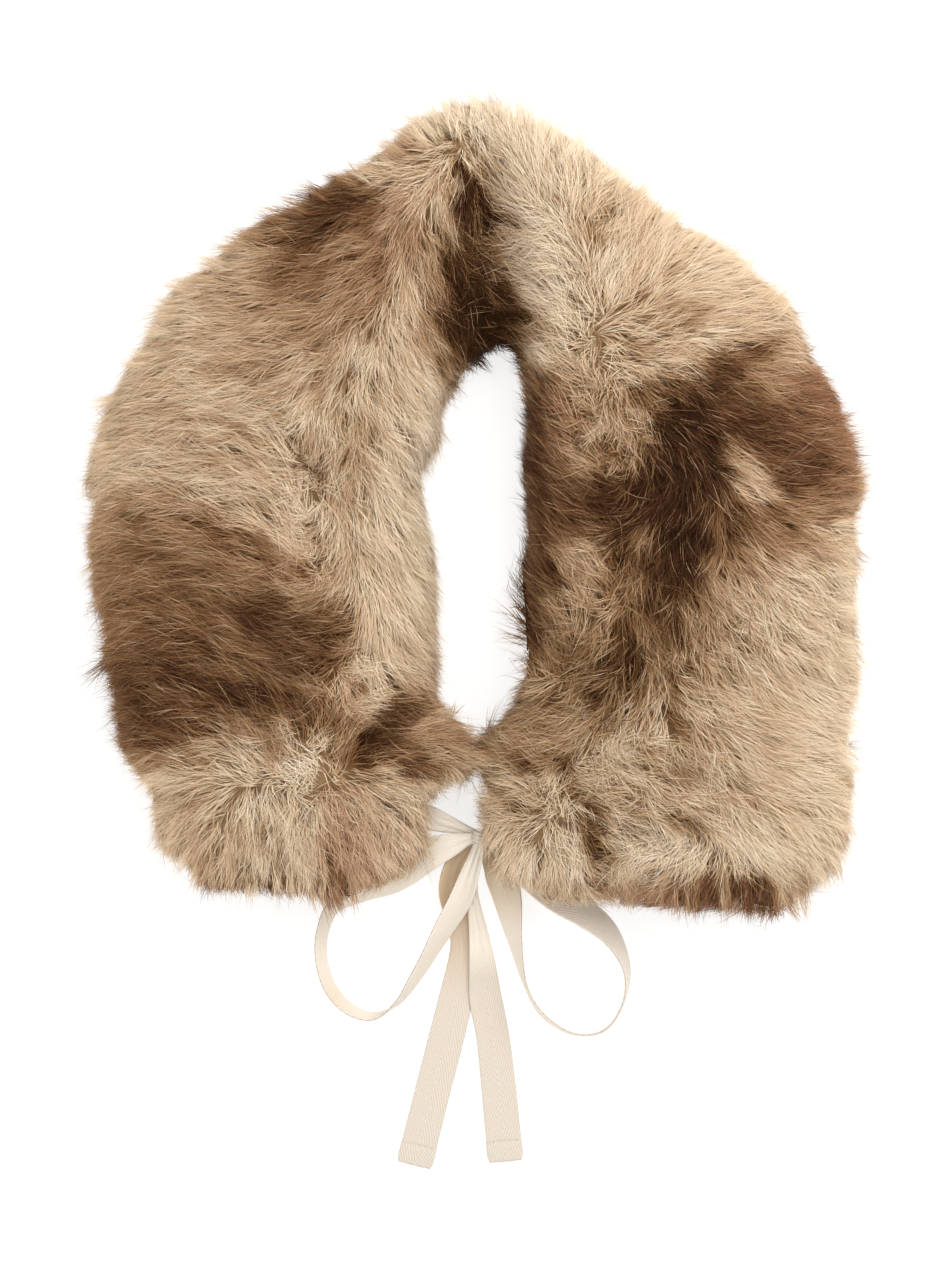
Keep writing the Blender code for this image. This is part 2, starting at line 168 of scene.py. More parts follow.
def link_finish(tree, shader, **sockets):
    """Links what changes over the surface to the shader's sockets, '_' for a blank."""
    for name, value in sockets.items():
        tree.tree.links.new(value.output, shader.inputs[name.replace("_", " ")])


def make_piece(name, points, faces, finish):
    """A mesh object of a few thousand faces."""
    mesh = bpy.data.meshes.new(name)
    mesh.from_pydata([tuple(p) for p in points], [], [tuple(int(i) for i in f) for f in faces])
    mesh.shade_smooth()
    mesh.materials.append(finish)
    piece = bpy.data.objects.new(name, mesh)
    scene.collection.objects.link(piece)
    return piece


table_finish, table_shader, table_tree = new_finish("white_table", {
    "Roughness": 0.9,
    "Specular IOR Level": 0.1,
    "Emission Color": TABLE_GLOW,
    "Emission Strength": 0.76,
})
grain = table_tree.node("ShaderNodeTexNoise", {}, {"Scale": 3.0, "Detail": 2.0})
link_finish(table_tree, table_shader, Base_Color=table_tree.mix(grain, *TABLE_GREYS))
half = TABLE_WIDTH / 2
table = make_piece(
    "table_top",
    [(x * half, y * half, -TABLE_DROP) for x, y in ((-1, -1), (1, -1), (1, 1), (-1, 1))],
    [(0, 1, 2, 3)],
    table_finish,
)


# ---- Upper collar: the backing of the fur cloth --------------------------------------------------
# Each half is one curved panel of long-pile fur cloth, backing side down, with its edges rolled
# under.  Hardly any backing shows: only the root colour of the hair in the deepest partings,
# which is partly painted shade.
MM = 0.001
BACKING_DEPTH = 8.0          # backing below the tips of the pile, where the pile is deep
BACKING_SHARE = 0.35         # and this share of the way through, where it isn't
BACKING_FLOOR = 0.6          # lowest that it lies above the table
FACING_DOWN = -0.55          # faces that look further down than this lie against the layer below
RAY_START = 0.3              # a ray into a solid starts this far inside it
RAY_LOST = 40.0              # and where it meets no far side, this is the depth
SEAM_FRONT = (11.9, 130.0)   # the centre-back seam in plan
SEAM_BACK = (2.4, 243.0)
SEAM_REACH = 1.2             # places as near to it as this are in the seam
SEAM_STEEP = 0.5             # where its faces look up or down by less than this
SEAM_LAP = 0.5               # how far the sewn edges lap

Skin = namedtuple("Skin", "points corners outward")

# Where the pile is pressed in or stands out from the plain form: a place, how far round it that
# reaches, and how far the pile is moved there.
Nudge = namedtuple("Nudge", "x y reach east north")
NUDGES = [Nudge(*row) for row in (
    (-35, 236, 22, 1.0, -2.5), (-51, 221, 22, 1.5, -4.0), (29, 240, 22, -1.0, -3.0),
    (75, 208, 14, -1.0, -2.0), (6, 122, 18, 0.0, 3.0), (-161, 132, 17, 4.5, -2.0),
    (-173, -30, 26, 2.5, 0.0), (-154, -67, 15, 3.0, 1.0), (-138, -112, 14, 4.0, 3.0),
    (-92, -122, 24, 0.0, 2.0), (157, 134, 18, -3.0, -1.5), (169, 110, 16, -2.5, -1.0),
    (178, 22, 28, -3.5, 0.0), (66, -126, 13, 0.0, 4.0), (133, -131, 20, 0.0, 5.0),
    (168, -112, 12, -2.0, 2.0), (-19, 70, 20, -3.0, 0.0), (-17, 100, 13, -0.8, 0.0),
    (-13, -8, 20, -3.0, 0.0), (-9, -27, 13, -4.0, 0.0), (20, 84, 26, 0.6, 0.0), (14, 38, 14, 3.0, 0.0),
    (21, -3, 26, 0.3, 0.0), (22, 25, 11, 0.8, 0.0), (-11, -56, 9, 4.0, 0.0), (9, -57, 9, -4.0, 0.0),
    (14, -104, 12, -5.0, -3.0), (38, -120, 20, 0.0, -5.0), (-16, -77, 10, -3.0, 1.0),
    (6, -85, 9, -3.0, 0.0), (-12, -69, 8, -1.5, 1.0), (178, -8, 22, 1.5, 0.0),
    (-146, 146, 10, -0.5, 0.5),
)]


def unit(vectors):
    """Vectors of length 1, along the last axis."""
    return vectors / np.maximum(np.linalg.norm(vectors, axis=-1, keepdims=True), 1e-9)


SEAM_ALONG = unit(np.array(SEAM_BACK) - np.array(SEAM_FRONT))
SEAM_ACROSS = np.array((SEAM_ALONG[1], -SEAM_ALONG[0], 0.0))


def read_mesh(items, name, size, kind):
    """A row of values for each vertex, triangle or loop of a mesh."""
    values = np.empty(size * len(items), kind)
    items.foreach_get(name, values)
    return values.reshape(-1, size)


def skin_of(*nodes):
    """Points, triangles and smooth outward ways of the solids of some nodes, in millimetres."""
    points = []
    corners = []
    for node in nodes:
        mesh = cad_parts[node].data
        mesh.calc_loop_triangles()
        places = read_mesh(mesh.vertices, "co", 3, np.float32)
        ends = read_mesh(mesh.loop_triangles, "vertices", 3, np.int32)
        places, same = np.unique(np.round(places / MM, 3), axis=0, return_inverse=True)
        for nudge in NUDGES:
            away = np.hypot(places[:, 0] - nudge.x, places[:, 1] - nudge.y) / nudge.reach
            places[:, :2] += np.exp(-(away**2))[:, None] * (nudge.east, nudge.north)
        corners.append(same.ravel()[ends] + sum(len(p) for p in points))
        points.append(places)
    points = np.concatenate(points)
    corners = np.concatenate(corners)
    ways = face_ways(points, corners)
    outward = np.zeros_like(points)
    for k in range(3):
        np.add.at(outward, corners[:, k], ways)
    outward = unit(outward)
    in_seam = near_seam(points)
    outward[in_seam] -= (outward[in_seam] @ SEAM_ACROSS)[:, None] * SEAM_ACROSS
    return Skin(points, corners, unit(outward))


def face_ways(points, corners):
    """Outward way of each triangle, as long as twice its area."""
    a, b, c = (points[corners[:, k]] for k in range(3))
    return np.cross(b - a, c - a)


def near_seam(places):
    """Whether places lie on the centre-back seam."""
    offset = places[:, :2] - np.array(SEAM_FRONT)
    return np.abs(offset[:, 0] * SEAM_ALONG[1] - offset[:, 1] * SEAM_ALONG[0]) < SEAM_REACH


def grows_hair(skin):
    """Which triangles of a solid are its outside: not what lies flat or meets the other half."""
    ways = unit(face_ways(skin.points, skin.corners))
    middles = skin.points[skin.corners].mean(axis=1)
    in_seam = near_seam(middles) & (np.abs(ways[:, 2]) < SEAM_STEEP)
    return (ways[:, 2] > FACING_DOWN) & ~in_seam


def depth_of(tree, places, outward):
    """How deep the solid is below each place."""
    deep = []
    for place, out in zip(places.tolist(), outward.tolist()):
        hit = tree.ray_cast(Vector(place) - Vector(out) * RAY_START, -Vector(out))
        deep.append(hit[3] if hit[0] is not None else RAY_LOST)
    return np.array(deep)


def cut_backing(name, node, finish):
    """The backing inside one fur half, open below."""
    skin = skin_of(node)
    tree = BVHTree.FromPolygons(skin.points.tolist(), skin.corners.tolist())
    deep = depth_of(tree, skin.points, skin.outward)
    inset = np.minimum(BACKING_DEPTH, BACKING_SHARE * deep)
    points = skin.points - skin.outward * inset[:, None]
    far_side = -np.sign((skin.points.mean(axis=0) - (*SEAM_FRONT, 0.0)) @ SEAM_ACROSS)
    points[near_seam(skin.points)] += far_side * SEAM_LAP * SEAM_ACROSS
    points[:, 2] = np.maximum(points[:, 2], BACKING_FLOOR)
    used, corners = np.unique(skin.corners[grows_hair(skin)], return_inverse=True)
    backing = make_piece(name, points[used] * MM, corners.reshape(-1, 3), finish)
    colour_roots(backing)
    return backing


# ---- Upper collar: the colour of the hair --------------------------------------------------------
# The pile is cream on most of the wrap, dyed in brown patches of uneven outline like a mixed pelt.
# Some patches add painted shade and painted light: darker along the centre-back crease and a
# parting, lighter on a few slopes that lie in shade.
# Every hair is dark at its root and pale at its tip, partly its own colour and partly painted
# shade deep in the pile; a rusty sort stands at some edges.
# Each patch is an oval: its middle, half its length and breadth, the heading of its length in
# degrees from +X, its tone (0 for the palest cream, 1 for near black) and the share of rusty hairs.
Patch = namedtuple("Patch", "x y long short heading tone rust")
BASE_TONE = 0.21
BASE_RUST = 0.12
BROAD_TONE = 0.05            # how far the tone wanders in broad waves,
FINE_TONE = 0.03             # and in fine ones
PATCH_SOFTNESS = 0.20
PATCH_WANDER = 3.2           # how far the edges of the patches stray,
PATCH_WAVES = (17.0, 6.0)    # and in waves of which sizes
WAVES = 6                    # in every smooth uneven ripple
ROOT_UP = 0.02               # how far up the chart the backing takes its colour,
ROOT_WANDER = 0.01           # and how far that wanders
CHART = "OFBake"             # the map that says which colour of its finish each point has
PATCHES = [Patch(*row) for row in (
    # left half: shoulder
    (-76, 148, 30, 16, 22, 0.44, 0.3), (-100, 152, 22, 14, 30, 0.38, 0.2),
    (-92, 186, 17, 8, 30, 0.50, 0.3), (-80, 175, 17, 14, 50, 0.77, 0.3),
    (-62, 194, 18, 12, 35, 0.86, 0.3), (-57, 183, 12, 7, 40, 0.66, 0.5),
    (-82, 160, 14, 9, 30, 0.60, 0.3), (-47, 170, 20, 8, 50, 0.56, 0.7),
    (-52, 154, 18, 9, 60, 0.52, 0.6), (-29, 172, 9, 12, 0, 0.39, 0.5), (-40, 184, 5, 16, 0, 0.36, 0.6),
    (-38, 226, 8, 5, 25, 0.36, 0.5), (-21, 231, 10, 6, 0, 0.18, 0.1), (-13, 212, 9, 6, 0, 0.30, 0.2),
    (-4, 228, 10, 7, 0, 0.12, 0.0), (-46, 204, 8, 6, 0, 0.16, 0.3), (-35, 221, 8, 7, 0, 0.34, 0.3),
    # (-10, 147) here and (-5, 188), (-4, 207) below: dark fur of the centre-back crease, deepened with
    # painted shade
    (-58, 173, 7, 6, 0, 0.42, 0.5), (-10, 147, 7, 26, 0, 0.92, 0.1), (-20, 139, 6, 18, -12, 0.42, 0.5),
    (-5, 188, 5, 20, 0, 0.88, 0.1), (-4, 207, 5, 5, 0, 0.98, 0.1),
    # left half: chest
    (-108, 116, 24, 8, -10, 0.30, 0.1), (-158, 88, 10, 8, 0, 0.30, 0.1),
    (-119, 75, 12, 7, -15, 0.30, 0.1), (-77, 80, 8, 8, 0, 0.34, 0.1), (-108, 134, 12, 8, 10, 0.33, 0.2),
    (-92, 93, 8, 6, -15, 0.14, 0.0), (-67, 89, 6, 6, 0, 0.14, 0.0), (-51, 121, 7, 8, 0, 0.12, 0.0),
    (-115, 119, 24, 2, -4, 0.44, 0.1), (-110, 93, 25, 2, -16, 0.44, 0.1),
    (-106, 77, 26, 2, -20, 0.40, 0.1), (-72, 112, 5, 16, 0, 0.36, 0.1), (-42, 30, 17, 62, 0, 0.12, 0.0),
    (-58, 56, 4, 10, 0, 0.34, 0.1), (-76, 54, 8, 8, 0, 0.14, 0.1), (-53, 71, 8, 12, 0, 0.34, 0.1),
    (-35, 16, 9, 27, 0, 0.12, 0.2), (-58, 6, 8, 10, 0, 0.10, 0.0), (-22, 60, 9, 50, 0, 0.06, 0.0),
    # (-80, 79): painted shadow of a parting over dark fur
    (-80, 79, 15, 1.8, -56, 1.00, 0.1), (-152, 42, 27, 20, 0, 0.47, 0.3),
    (-128, 14, 48, 26, -18, 0.63, 0.3), (-126, 52, 18, 8, -18, 0.35, 0.3),
    (-140, -14, 33, 26, -8, 0.71, 0.3), (-171, -8, 12, 34, 0, 0.60, 0.3),
    (-103, -32, 28, 9, -4, 0.74, 0.3), (-110, 42, 23, 6, -22, 0.72, 0.3),
    (-92, 31, 22, 5, -18, 0.48, 0.6), (-91, 6, 27, 11, -10, 0.80, 0.2),
    (-81, -9, 19, 13, -8, 0.79, 0.2), (-101, -26, 22, 6, -8, 0.90, 0.2),
    (-150, -22, 22, 13, -8, 0.80, 0.3), (-120, 3, 13, 8, -10, 0.60, 0.3),
    (-150, -42, 18, 13, -30, 0.78, 0.3), (-163, -46, 9, 10, 0, 0.72, 0.3),
    (-67, -27, 8, 4, -40, 0.34, 0.7), (-51, -27, 6, 5, 0, 0.50, 0.3), (-62, -25, 7, 5, 0, 0.28, 0.5),
    (-60, -39, 9, 4, 10, 0.68, 0.3), (-26, -30, 9, 8, 0, 0.24, 0.3), (-78, -34, 18, 5, 0, 0.68, 0.4),
    # left half: front end
    # (-113, -78): painted light against the shade of a whirl's tufts
    (-94, -84, 28, 26, 0, 0.12, 0.0), (-113, -78, 10, 12, 0, 0.01, 0.0),
    (-29, -76, 9, 12, 0, 0.12, 0.3), (-108, -97, 8, 6, 0, 0.28, 0.1),
    (-125, -109, 14, 6, -30, 0.34, 0.2), (-81, -60, 17, 9, 0, 0.08, 0.0),
    (-126, -67, 23, 11, 0, 0.16, 0.0), (-154, -60, 9, 7, 0, 0.44, 0.1),
    (-138, -84, 12, 14, 0, 0.26, 0.1), (-40, -98, 12, 16, 0, 0.20, 0.4), (-57, -51, 7, 7, 0, 0.52, 0.4),
    (-69, -58, 8, 6, 0, 0.04, 0.1), (-27, -50, 12, 6, 10, 0.62, 0.2), (-39, -43, 21, 7, 36, 0.97, 0.2),
    (-52, -52, 9, 7, 20, 0.72, 0.2), (-12, -44, 12, 7, -10, 0.46, 0.2),
    (-22, -60, 12, 6, -5, 0.76, 0.2), (-95, -49, 5, 12, 15, 0.50, 0.3),
    (-58, -100, 11, 25, 4, 0.35, 0.9), (-59, -74, 7, 22, 0, 0.32, 0.7),
    (-94, -122, 40, 7, 0, 0.74, 0.5), (-64, -123, 8, 7, 0, 0.66, 0.8),
    (-112, -119, 14, 8, 0, 0.66, 0.4),
    # right half: shoulder
    (79, 134, 30, 14, 0, 0.24, 0.1), (98, 143, 14, 8, -10, 0.28, 0.1), (111, 134, 8, 5, 0, 0.24, 0.1),
    (66, 212, 37, 18, -35, 0.21, 0.0), (111, 175, 27, 14, -35, 0.14, 0.0),
    # (33, 168): painted light on the slope down into the centre-back crease
    (26, 228, 38, 16, -12, 0.07, 0.0), (33, 168, 14, 44, 8, 0.07, 0.0), (61, 166, 8, 10, 0, 0.10, 0.0),
    # (-1, 196) here and (0, 149), (6, 128) below: dark fur of the centre-back crease, deepened with
    # painted shade
    (48, 150, 4, 22, 20, 0.14, 0.0), (53, 141, 3, 5, 0, 0.26, 0.0), (-1, 196, 6, 16, 20, 0.96, 0.1),
    (0, 149, 13, 26, 0, 1.00, 0.0), (6, 128, 15, 8, 0, 0.96, 0.0),
    # right half: the dark blaze
    (162, 6, 18, 41, 0, 0.14, 0.0), (120, 100, 28, 11, -12, 0.80, 0.4),
    (114, 119, 13, 8, 35, 0.84, 0.3), (130, 126, 11, 6, 25, 0.80, 0.4),
    (135, 117, 12, 6, -10, 0.46, 0.5), (148, 86, 26, 19, -15, 0.78, 0.6),
    (158, 107, 12, 18, 10, 0.60, 0.9), (169, 80, 6, 22, 0, 0.56, 0.9), (150, 68, 16, 9, 0, 0.82, 0.5),
    (124, 48, 29, 10, -14, 0.76, 0.6), (124, 89, 12, 7, -12, 0.84, 0.4), (158, 55, 18, 5, 0, 0.50, 0.5),
    (142, 40, 18, 6, -12, 0.46, 0.6), (109, 66, 9, 24, 14, 0.92, 0.3), (92, 84, 15, 23, 0, 0.98, 0.1),
    (84, 119, 18, 6, 0, 0.19, 0.1), (110, 132, 9, 6, 0, 0.14, 0.0), (74, 60, 36, 13, 4, 0.90, 0.1),
    (52, 66, 17, 8, -12, 0.86, 0.1), (90, 36, 17, 30, 0, 1.00, 0.1), (86, 12, 12, 15, 0, 0.92, 0.1),
    (26, 80, 9, 46, 0, 0.88, 0.4), (39, 96, 10, 14, 0, 0.52, 0.6), (60, 92, 13, 13, 10, 0.36, 0.3),
    (74, 103, 8, 6, 20, 0.66, 0.1), (46, 120, 9, 7, 0, 0.36, 0.2), (52, 112, 12, 5, -38, 0.36, 0.1),
    # (13, 142): dark fur of the centre-back crease, deepened with painted shade
    (29, 128, 8, 6, 0, 0.15, 0.0), (13, 142, 8, 8, 0, 0.94, 0.0), (17, 198, 6, 13, 0, 0.08, 0.0),
    (52, 80, 8, 6, 0, 0.52, 0.2), (38, 52, 9, 12, 0, 0.72, 0.5), (62, 49, 14, 9, 0, 0.88, 0.2),
    (64, 34, 13, 12, 0, 0.86, 0.2), (103, 92, 9, 14, 0, 0.94, 0.2), (46, 29, 10, 9, 0, 0.34, 0.2),
    (71, 40, 5, 4, 0, 0.56, 0.2), (29, 28, 7, 13, 0, 0.80, 0.4), (128, 68, 4.5, 12, 42, 0.28, 0.3),
    (128, 62, 9, 5, -20, 0.22, 0.3), (112, 48, 13, 12, -20, 0.74, 0.3),
    (122, 29, 14, 7, -25, 0.54, 0.2),
    # right half: chest
    (158, -55, 18, 50, 0, 0.13, 0.0), (120, -40, 24, 42, 0, 0.23, 0.1), (102, -2, 8, 17, 0, 0.46, 0.1),
    (34, 0, 11, 20, 0, 0.53, 0.1), (25, 6, 5, 18, 0, 0.78, 0.2), (15, 30, 7, 34, 0, 0.72, 0.3),
    (66, 8, 11, 14, 0, 0.58, 0.1), (66, -16, 12, 13, 0, 0.90, 0.0), (84, -6, 9, 14, 0, 0.64, 0.0),
    (111, 8, 7, 7, 0, 0.38, 0.0), (107, -25, 9, 7, 0, 0.34, 0.0), (78, -26, 9, 8, 0, 0.62, 0.0),
    (54, -25, 9, 10, -20, 0.78, 0.0), (46, -8, 9, 10, 0, 0.64, 0.0), (43, 14, 9, 8, 0, 0.44, 0.1),
    (40, -27, 10, 10, 0, 0.58, 0.0), (52, -42, 16, 8, 10, 0.54, 0.0), (70, -39, 6, 6, 0, 0.34, 0.0),
    (24, -38, 14, 13, 0, 0.50, 0.1), (80, -57, 10, 7, 0, 0.42, 0.0), (90, -36, 4, 14, 25, 0.52, 0.0),
    (95, -63, 8, 4, -45, 0.50, 0.0),
    # right half: front end
    (4, -53, 13, 9, 0, 0.50, 0.0), (31, -48, 18, 7, 20, 0.44, 0.1), (16, -71, 12, 12, 0, 0.28, 0.0),
    (40, -62, 10, 5, -35, 0.80, 0.1), (28, -62, 7, 5, 0, 0.26, 0.0), (16, -56, 12, 4, -20, 0.60, 0.1),
    (34, -96, 16, 12, 0, 0.06, 0.0), (43, -113, 12, 4, 0, 0.32, 0.0), (82, -102, 20, 10, 0, 0.10, 0.0),
    (125, -98, 30, 12, 0, 0.08, 0.0), (55, -85, 5, 12, 0, 0.76, 0.0), (80, -82, 10, 4, 0, 0.36, 0.0),
    (24, -83, 7, 5, 0, 0.34, 0.0), (57, -102, 8, 5, 0, 0.66, 0.0), (43, -100, 7, 7, 0, 0.10, 0.0),
    (93, -87, 14, 5, 0, 0.58, 0.0), (80, -88, 7, 5, 0, 0.18, 0.0), (75, -119, 18, 4, -5, 0.42, 0.5),
    (118, -121, 24, 7, 0, 0.86, 0.8), (95, -124, 24, 5, 0, 0.68, 0.6),
)]
SORTS = 2                    # plain and rusty, one above the other in the hair's chart
PLAIN_STOPS = [
    (0.00, (0.96, 0.865, 0.70, 1.0)),
    (0.20, (0.79, 0.620, 0.43, 1.0)),
    (0.42, (0.50, 0.325, 0.180, 1.0)),
    (0.62, (0.275, 0.150, 0.066, 1.0)),
    (0.82, (0.103, 0.043, 0.015, 1.0)),
    (1.00, (0.026, 0.010, 0.004, 1.0)),
]
RUSTY_STOPS = [
    (0.00, (0.92, 0.75, 0.57, 1.0)),
    (0.20, (0.75, 0.53, 0.36, 1.0)),
    (0.42, (0.51, 0.29, 0.17, 1.0)),
    (0.62, (0.30, 0.145, 0.072, 1.0)),
    (0.82, (0.142, 0.057, 0.027, 1.0)),
    (1.00, (0.045, 0.018, 0.009, 1.0)),
]
# Darker towards the root: partly the hair's own darker base, partly painted shade deep in the pile.
ROOT_AND_SHADE_STOPS = [
    (0.00, (0.30, 0.22, 0.15, 1.0)),
    (0.25, (0.50, 0.41, 0.31, 1.0)),
    (0.60, (0.87, 0.83, 0.78, 1.0)),
    (1.00, (1.00, 1.00, 1.00, 1.0)),
]


def make_fur_finish():
    """Hair colour from the chart: across it the tone, up it root to tip, once for each sort."""
    finish, shader, tree = new_finish("fur", {
        "Roughness": 0.60,
        "Specular IOR Level": 0.05,
    })
    chart = tree.node("ShaderNodeUVMap", {"uv_map": CHART})
    tone = chart.part(0)
    height = chart.part(1) * SORTS
    rusty = height.math("GREATER_THAN", height, 1.0)
    hair = tree.mix(rusty, tone.ramp(PLAIN_STOPS), tone.ramp(RUSTY_STOPS))
    # painted shade towards the root, over the hair's own darker base
    shade = (height - rusty).ramp(ROOT_AND_SHADE_STOPS)
    multiply = {"data_type": "RGBA", "blend_type": "MULTIPLY"}
    shaded = tree.node("ShaderNodeMix", multiply, {0: 1.0, 6: hair, 7: shade}, 2)
    link_finish(tree, shader, Base_Color=shaded)
    return finish


def ripple(x, y, size, seed):
    """Smooth uneven waves of about that size in millimetres, between about -1 and 1."""
    dice = np.random.default_rng(seed)
    waves = 0.0
    for k in range(WAVES):
        turn = dice.uniform(0.0, math.tau)
        scale = math.tau / (size * dice.uniform(0.7, 1.6))
        start = dice.uniform(0.0, math.tau)
        waves = waves + np.sin((x * math.cos(turn) + y * math.sin(turn)) * scale + start)
    return waves / (0.5 * WAVES)


def wander(x, y, seed):
    """How far the edges of the patches stray at places in plan."""
    broad, fine = PATCH_WAVES
    return PATCH_WANDER * (ripple(x, y, broad, seed) + 0.5 * ripple(x, y, fine, seed + 1))


def hair_colour(x, y):
    """Tone and share of rusty hairs at places in plan."""
    stray_x = x + wander(x, y, 11)
    stray_y = y + wander(x, y, 13)
    tone = BASE_TONE + BROAD_TONE * ripple(x, y, 30.0, 15) + FINE_TONE * ripple(x, y, 9.0, 16)
    rust = np.full_like(x, BASE_RUST)
    for patch in PATCHES:
        heading = math.radians(patch.heading)
        east = stray_x - patch.x
        north = stray_y - patch.y
        along = (east * math.cos(heading) + north * math.sin(heading)) / patch.long
        across = (north * math.cos(heading) - east * math.sin(heading)) / patch.short
        outside = (np.hypot(along, across) - 1.0) / PATCH_SOFTNESS
        cover = 1.0 / (1.0 + np.exp(np.minimum(outside, 50.0)))
        tone = tone + (patch.tone - tone) * cover
        rust = rust + (patch.rust - rust) * cover
    return tone, rust


def colour_roots(backing):
    """Gives a backing the root colour of the hair above it, which is partly painted shade."""
    mesh = backing.data
    places = read_mesh(mesh.vertices, "co", 3, np.float32) / MM
    tone, rust = hair_colour(places[:, 0], places[:, 1])
    root = ROOT_UP + ROOT_WANDER * ripple(places[:, 0], places[:, 1], 5.0, 17)
    ends = read_mesh(mesh.loops, "vertex_index", 1, np.int32).ravel()
    chart = np.stack([tone.clip(0.01, 0.99), root], axis=1)[ends]
    mesh.uv_layers.new(name=CHART).data.foreach_set("uv", chart.astype(np.float32).ravel())


fur_finish = make_fur_finish()
UPPER_HALVES = {"left": "collar_upper_left", "right": "collar_upper_right"}
backings = {}
for side, node in UPPER_HALVES.items():
    backings[side] = cut_backing(f"backing_upper_{side}", node, fur_finish)
    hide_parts(node)
    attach(backings[side], "root")


# ---- Upper collar: how the hair lies -------------------------------------------------------------
# The hair isn't brushed one way: it lies outwards from a crest along each half, whirls round a
# cowlick on each shoulder and fans out at the front ends.  Each row is a stroke that it follows.
# heading: degrees from +X, root to tip, at the start; turn: how far the stroke bends on its way.
Stroke = namedtuple("Stroke", "x y heading turn length")
LEFT_STROKES = [Stroke(*row) for row in (
    (-6, 232, 118, 10, 14), (-20, 230, 128, 10, 14), (-34, 222, 138, 10, 16), (-50, 212, 138, 10, 16),
    (-14, 214, 215, -12, 50), (-37, 214, 195, 0, 34), (-7, 214, 262, 43, 73), (-18, 201, 262, 44, 59),
    (-24, 187, 255, 55, 50), (-26, 198, 228, -44, 91), (-35, 207, 205, -2, 55),
    (-33, 178, 248, -62, 87), (-35, 164, 250, -65, 101), (-40, 141, 276, 30, 50),
    (-49, 139, 250, 38, 50), (-58, 134, 236, 26, 59), (-67, 130, 222, -32, 82),
    (-77, 112, 235, -70, 50), (-113, 170, 183, 9, 27), (-113, 148, 182, 14, 41),
    (-136, 132, 184, 22, 32), (-145, 114, 196, 22, 27), (-26, 166, 282, 32, 46),
    (-35, 132, 300, 18, 37), (-21, 107, 305, -20, 32), (-42, 98, 306, -16, 78), (-53, 98, 292, 2, 69),
    (-61, 93, 262, 23, 55), (-35, 43, 294, 11, 50), (-48, 43, 282, 22, 55), (-52, 34, 276, 2, 59),
    (-59, 22, 240, -55, 27), (-65, 61, 260, 2, 27), (-85, 90, 158, 42, 82), (-75, 68, 130, 70, 110),
    (-81, 50, 140, 60, 110), (-76, 34, 150, 50, 105), (-65, 13, 195, -45, 41), (-104, 19, 150, 53, 73),
    (-67, -5, 190, -45, 41), (-104, -3, 141, 62, 78), (-69, -26, 148, -8, 27), (-99, -14, 142, 66, 78),
    (-81, -37, 140, 20, 55), (-131, -23, 160, 48, 41), (-104, -51, 132, 33, 46),
    (-140, -37, 165, 35, 27), (-26, -3, 325, 40, 27), (-42, -14, 312, 38, 32), (-58, -26, 318, 27, 32),
    (-60, -56, 70, -25, 27), (-58, -60, 38, -33, 55), (-44, -63, 345, -55, 41),
    (-58, -67, 315, -40, 50), (-62, -69, 296, -16, 55), (-69, -71, 300, -10, 50),
    (-65, -53, 85, 27, 18), (-76, -63, 165, -30, 23), (-114, -57, 145, 20, 32), (-114, -61, 168, 8, 37),
    (-114, -66, 190, 15, 37), (-113, -69, 225, 11, 43), (-109, -71, 248, 10, 50),
    (-100, -76, 262, 6, 41), (-88, -76, 280, -5, 41),
)]
RIGHT_STROKES = [Stroke(*row) for row in (
    (45, 132, 142, 28, 50), (50, 141, 135, 30, 50), (45, 170, 150, 45, 41), (52, 153, 95, 30, 27),
    (44, 180, 130, -14, 50), (56, 139, 95, -45, 50), (42, 191, 85, 12, 39), (31, 203, 115, -15, 34),
    (18, 214, 112, 0, 20), (28, 220, 98, 0, 20), (5, 230, 100, 0, 15), (45, 214, 80, 0, 22),
    (62, 204, 62, 0, 22), (80, 194, 50, 0, 22), (98, 182, 42, 0, 22), (116, 168, 36, -5, 22),
    (62, 143, 72, -14, 55), (68, 143, 48, 30, 46), (59, 191, 50, -14, 27), (75, 144, 25, 20, 23),
    (86, 164, 40, -32, 41), (66, 137, 12, -12, 69), (88, 150, 22, -32, 55), (111, 173, 8, -30, 27),
    (62, 129, -12, 6, 87), (62, 126, -35, -10, 27), (86, 114, -45, 30, 50), (98, 121, -25, 27, 69),
    (143, 114, -5, -10, 27), (56, 121, -55, 15, 55), (98, 98, -35, 31, 64), (102, 89, -52, 34, 55),
    (143, 75, 0, 0, 27), (59, 105, -45, -50, 41), (75, 73, 265, -105, 50), (93, 86, 285, -53, 41),
    (79, 57, 228, -78, 46), (104, 84, 290, -42, 59), (52, 109, 150, -15, 27), (56, 86, 140, -5, 37),
    (56, 61, 165, -25, 37), (56, 41, 120, 20, 37), (56, 16, 100, 38, 37), (45, 13, 126, 12, 20),
    (38, 3, 118, 15, 14), (30, 22, 112, 10, 16), (30, -6, 112, 12, 16), (75, 43, 265, 10, 50),
    (86, 32, 278, 22, 50), (100, 27, 262, 43, 50), (112, 41, -58, -4, 41), (116, 52, -30, -18, 55),
    (139, 48, -22, 10, 41), (148, 61, 2, 8, 27), (127, 2, -45, 25, 50), (148, 20, -40, 15, 27),
    (109, -10, -50, 35, 64), (98, -26, -42, 34, 73), (91, -32, -60, 58, 82), (85, -37, -85, 69, 82),
    (98, -67, -50, 15, 78), (59, 4, 262, -72, 78), (68, -7, 265, -77, 80), (77, -26, 255, -40, 27),
    (56, -51, -10, -28, 50), (43, -60, -20, -12, 64), (38, -71, -12, -13, 55), (24, -60, 145, 15, 27),
    (20, -71, 140, 12, 21), (24, -83, 165, 23, 18), (29, -90, 225, 20, 27), (31, -93, 266, 6, 34),
    (36, -92, 300, -10, 30), (46, -96, 318, -18, 27), (45, -90, 350, -15, 23), (100, -92, 205, -5, 32),
    (102, -96, 225, 0, 34), (109, -96, 262, -14, 30), (118, -99, 285, -15, 30),
    (127, -94, -52, -26, 34), (143, -92, -48, -22, 34), (157, -76, -35, -15, 32),
)]
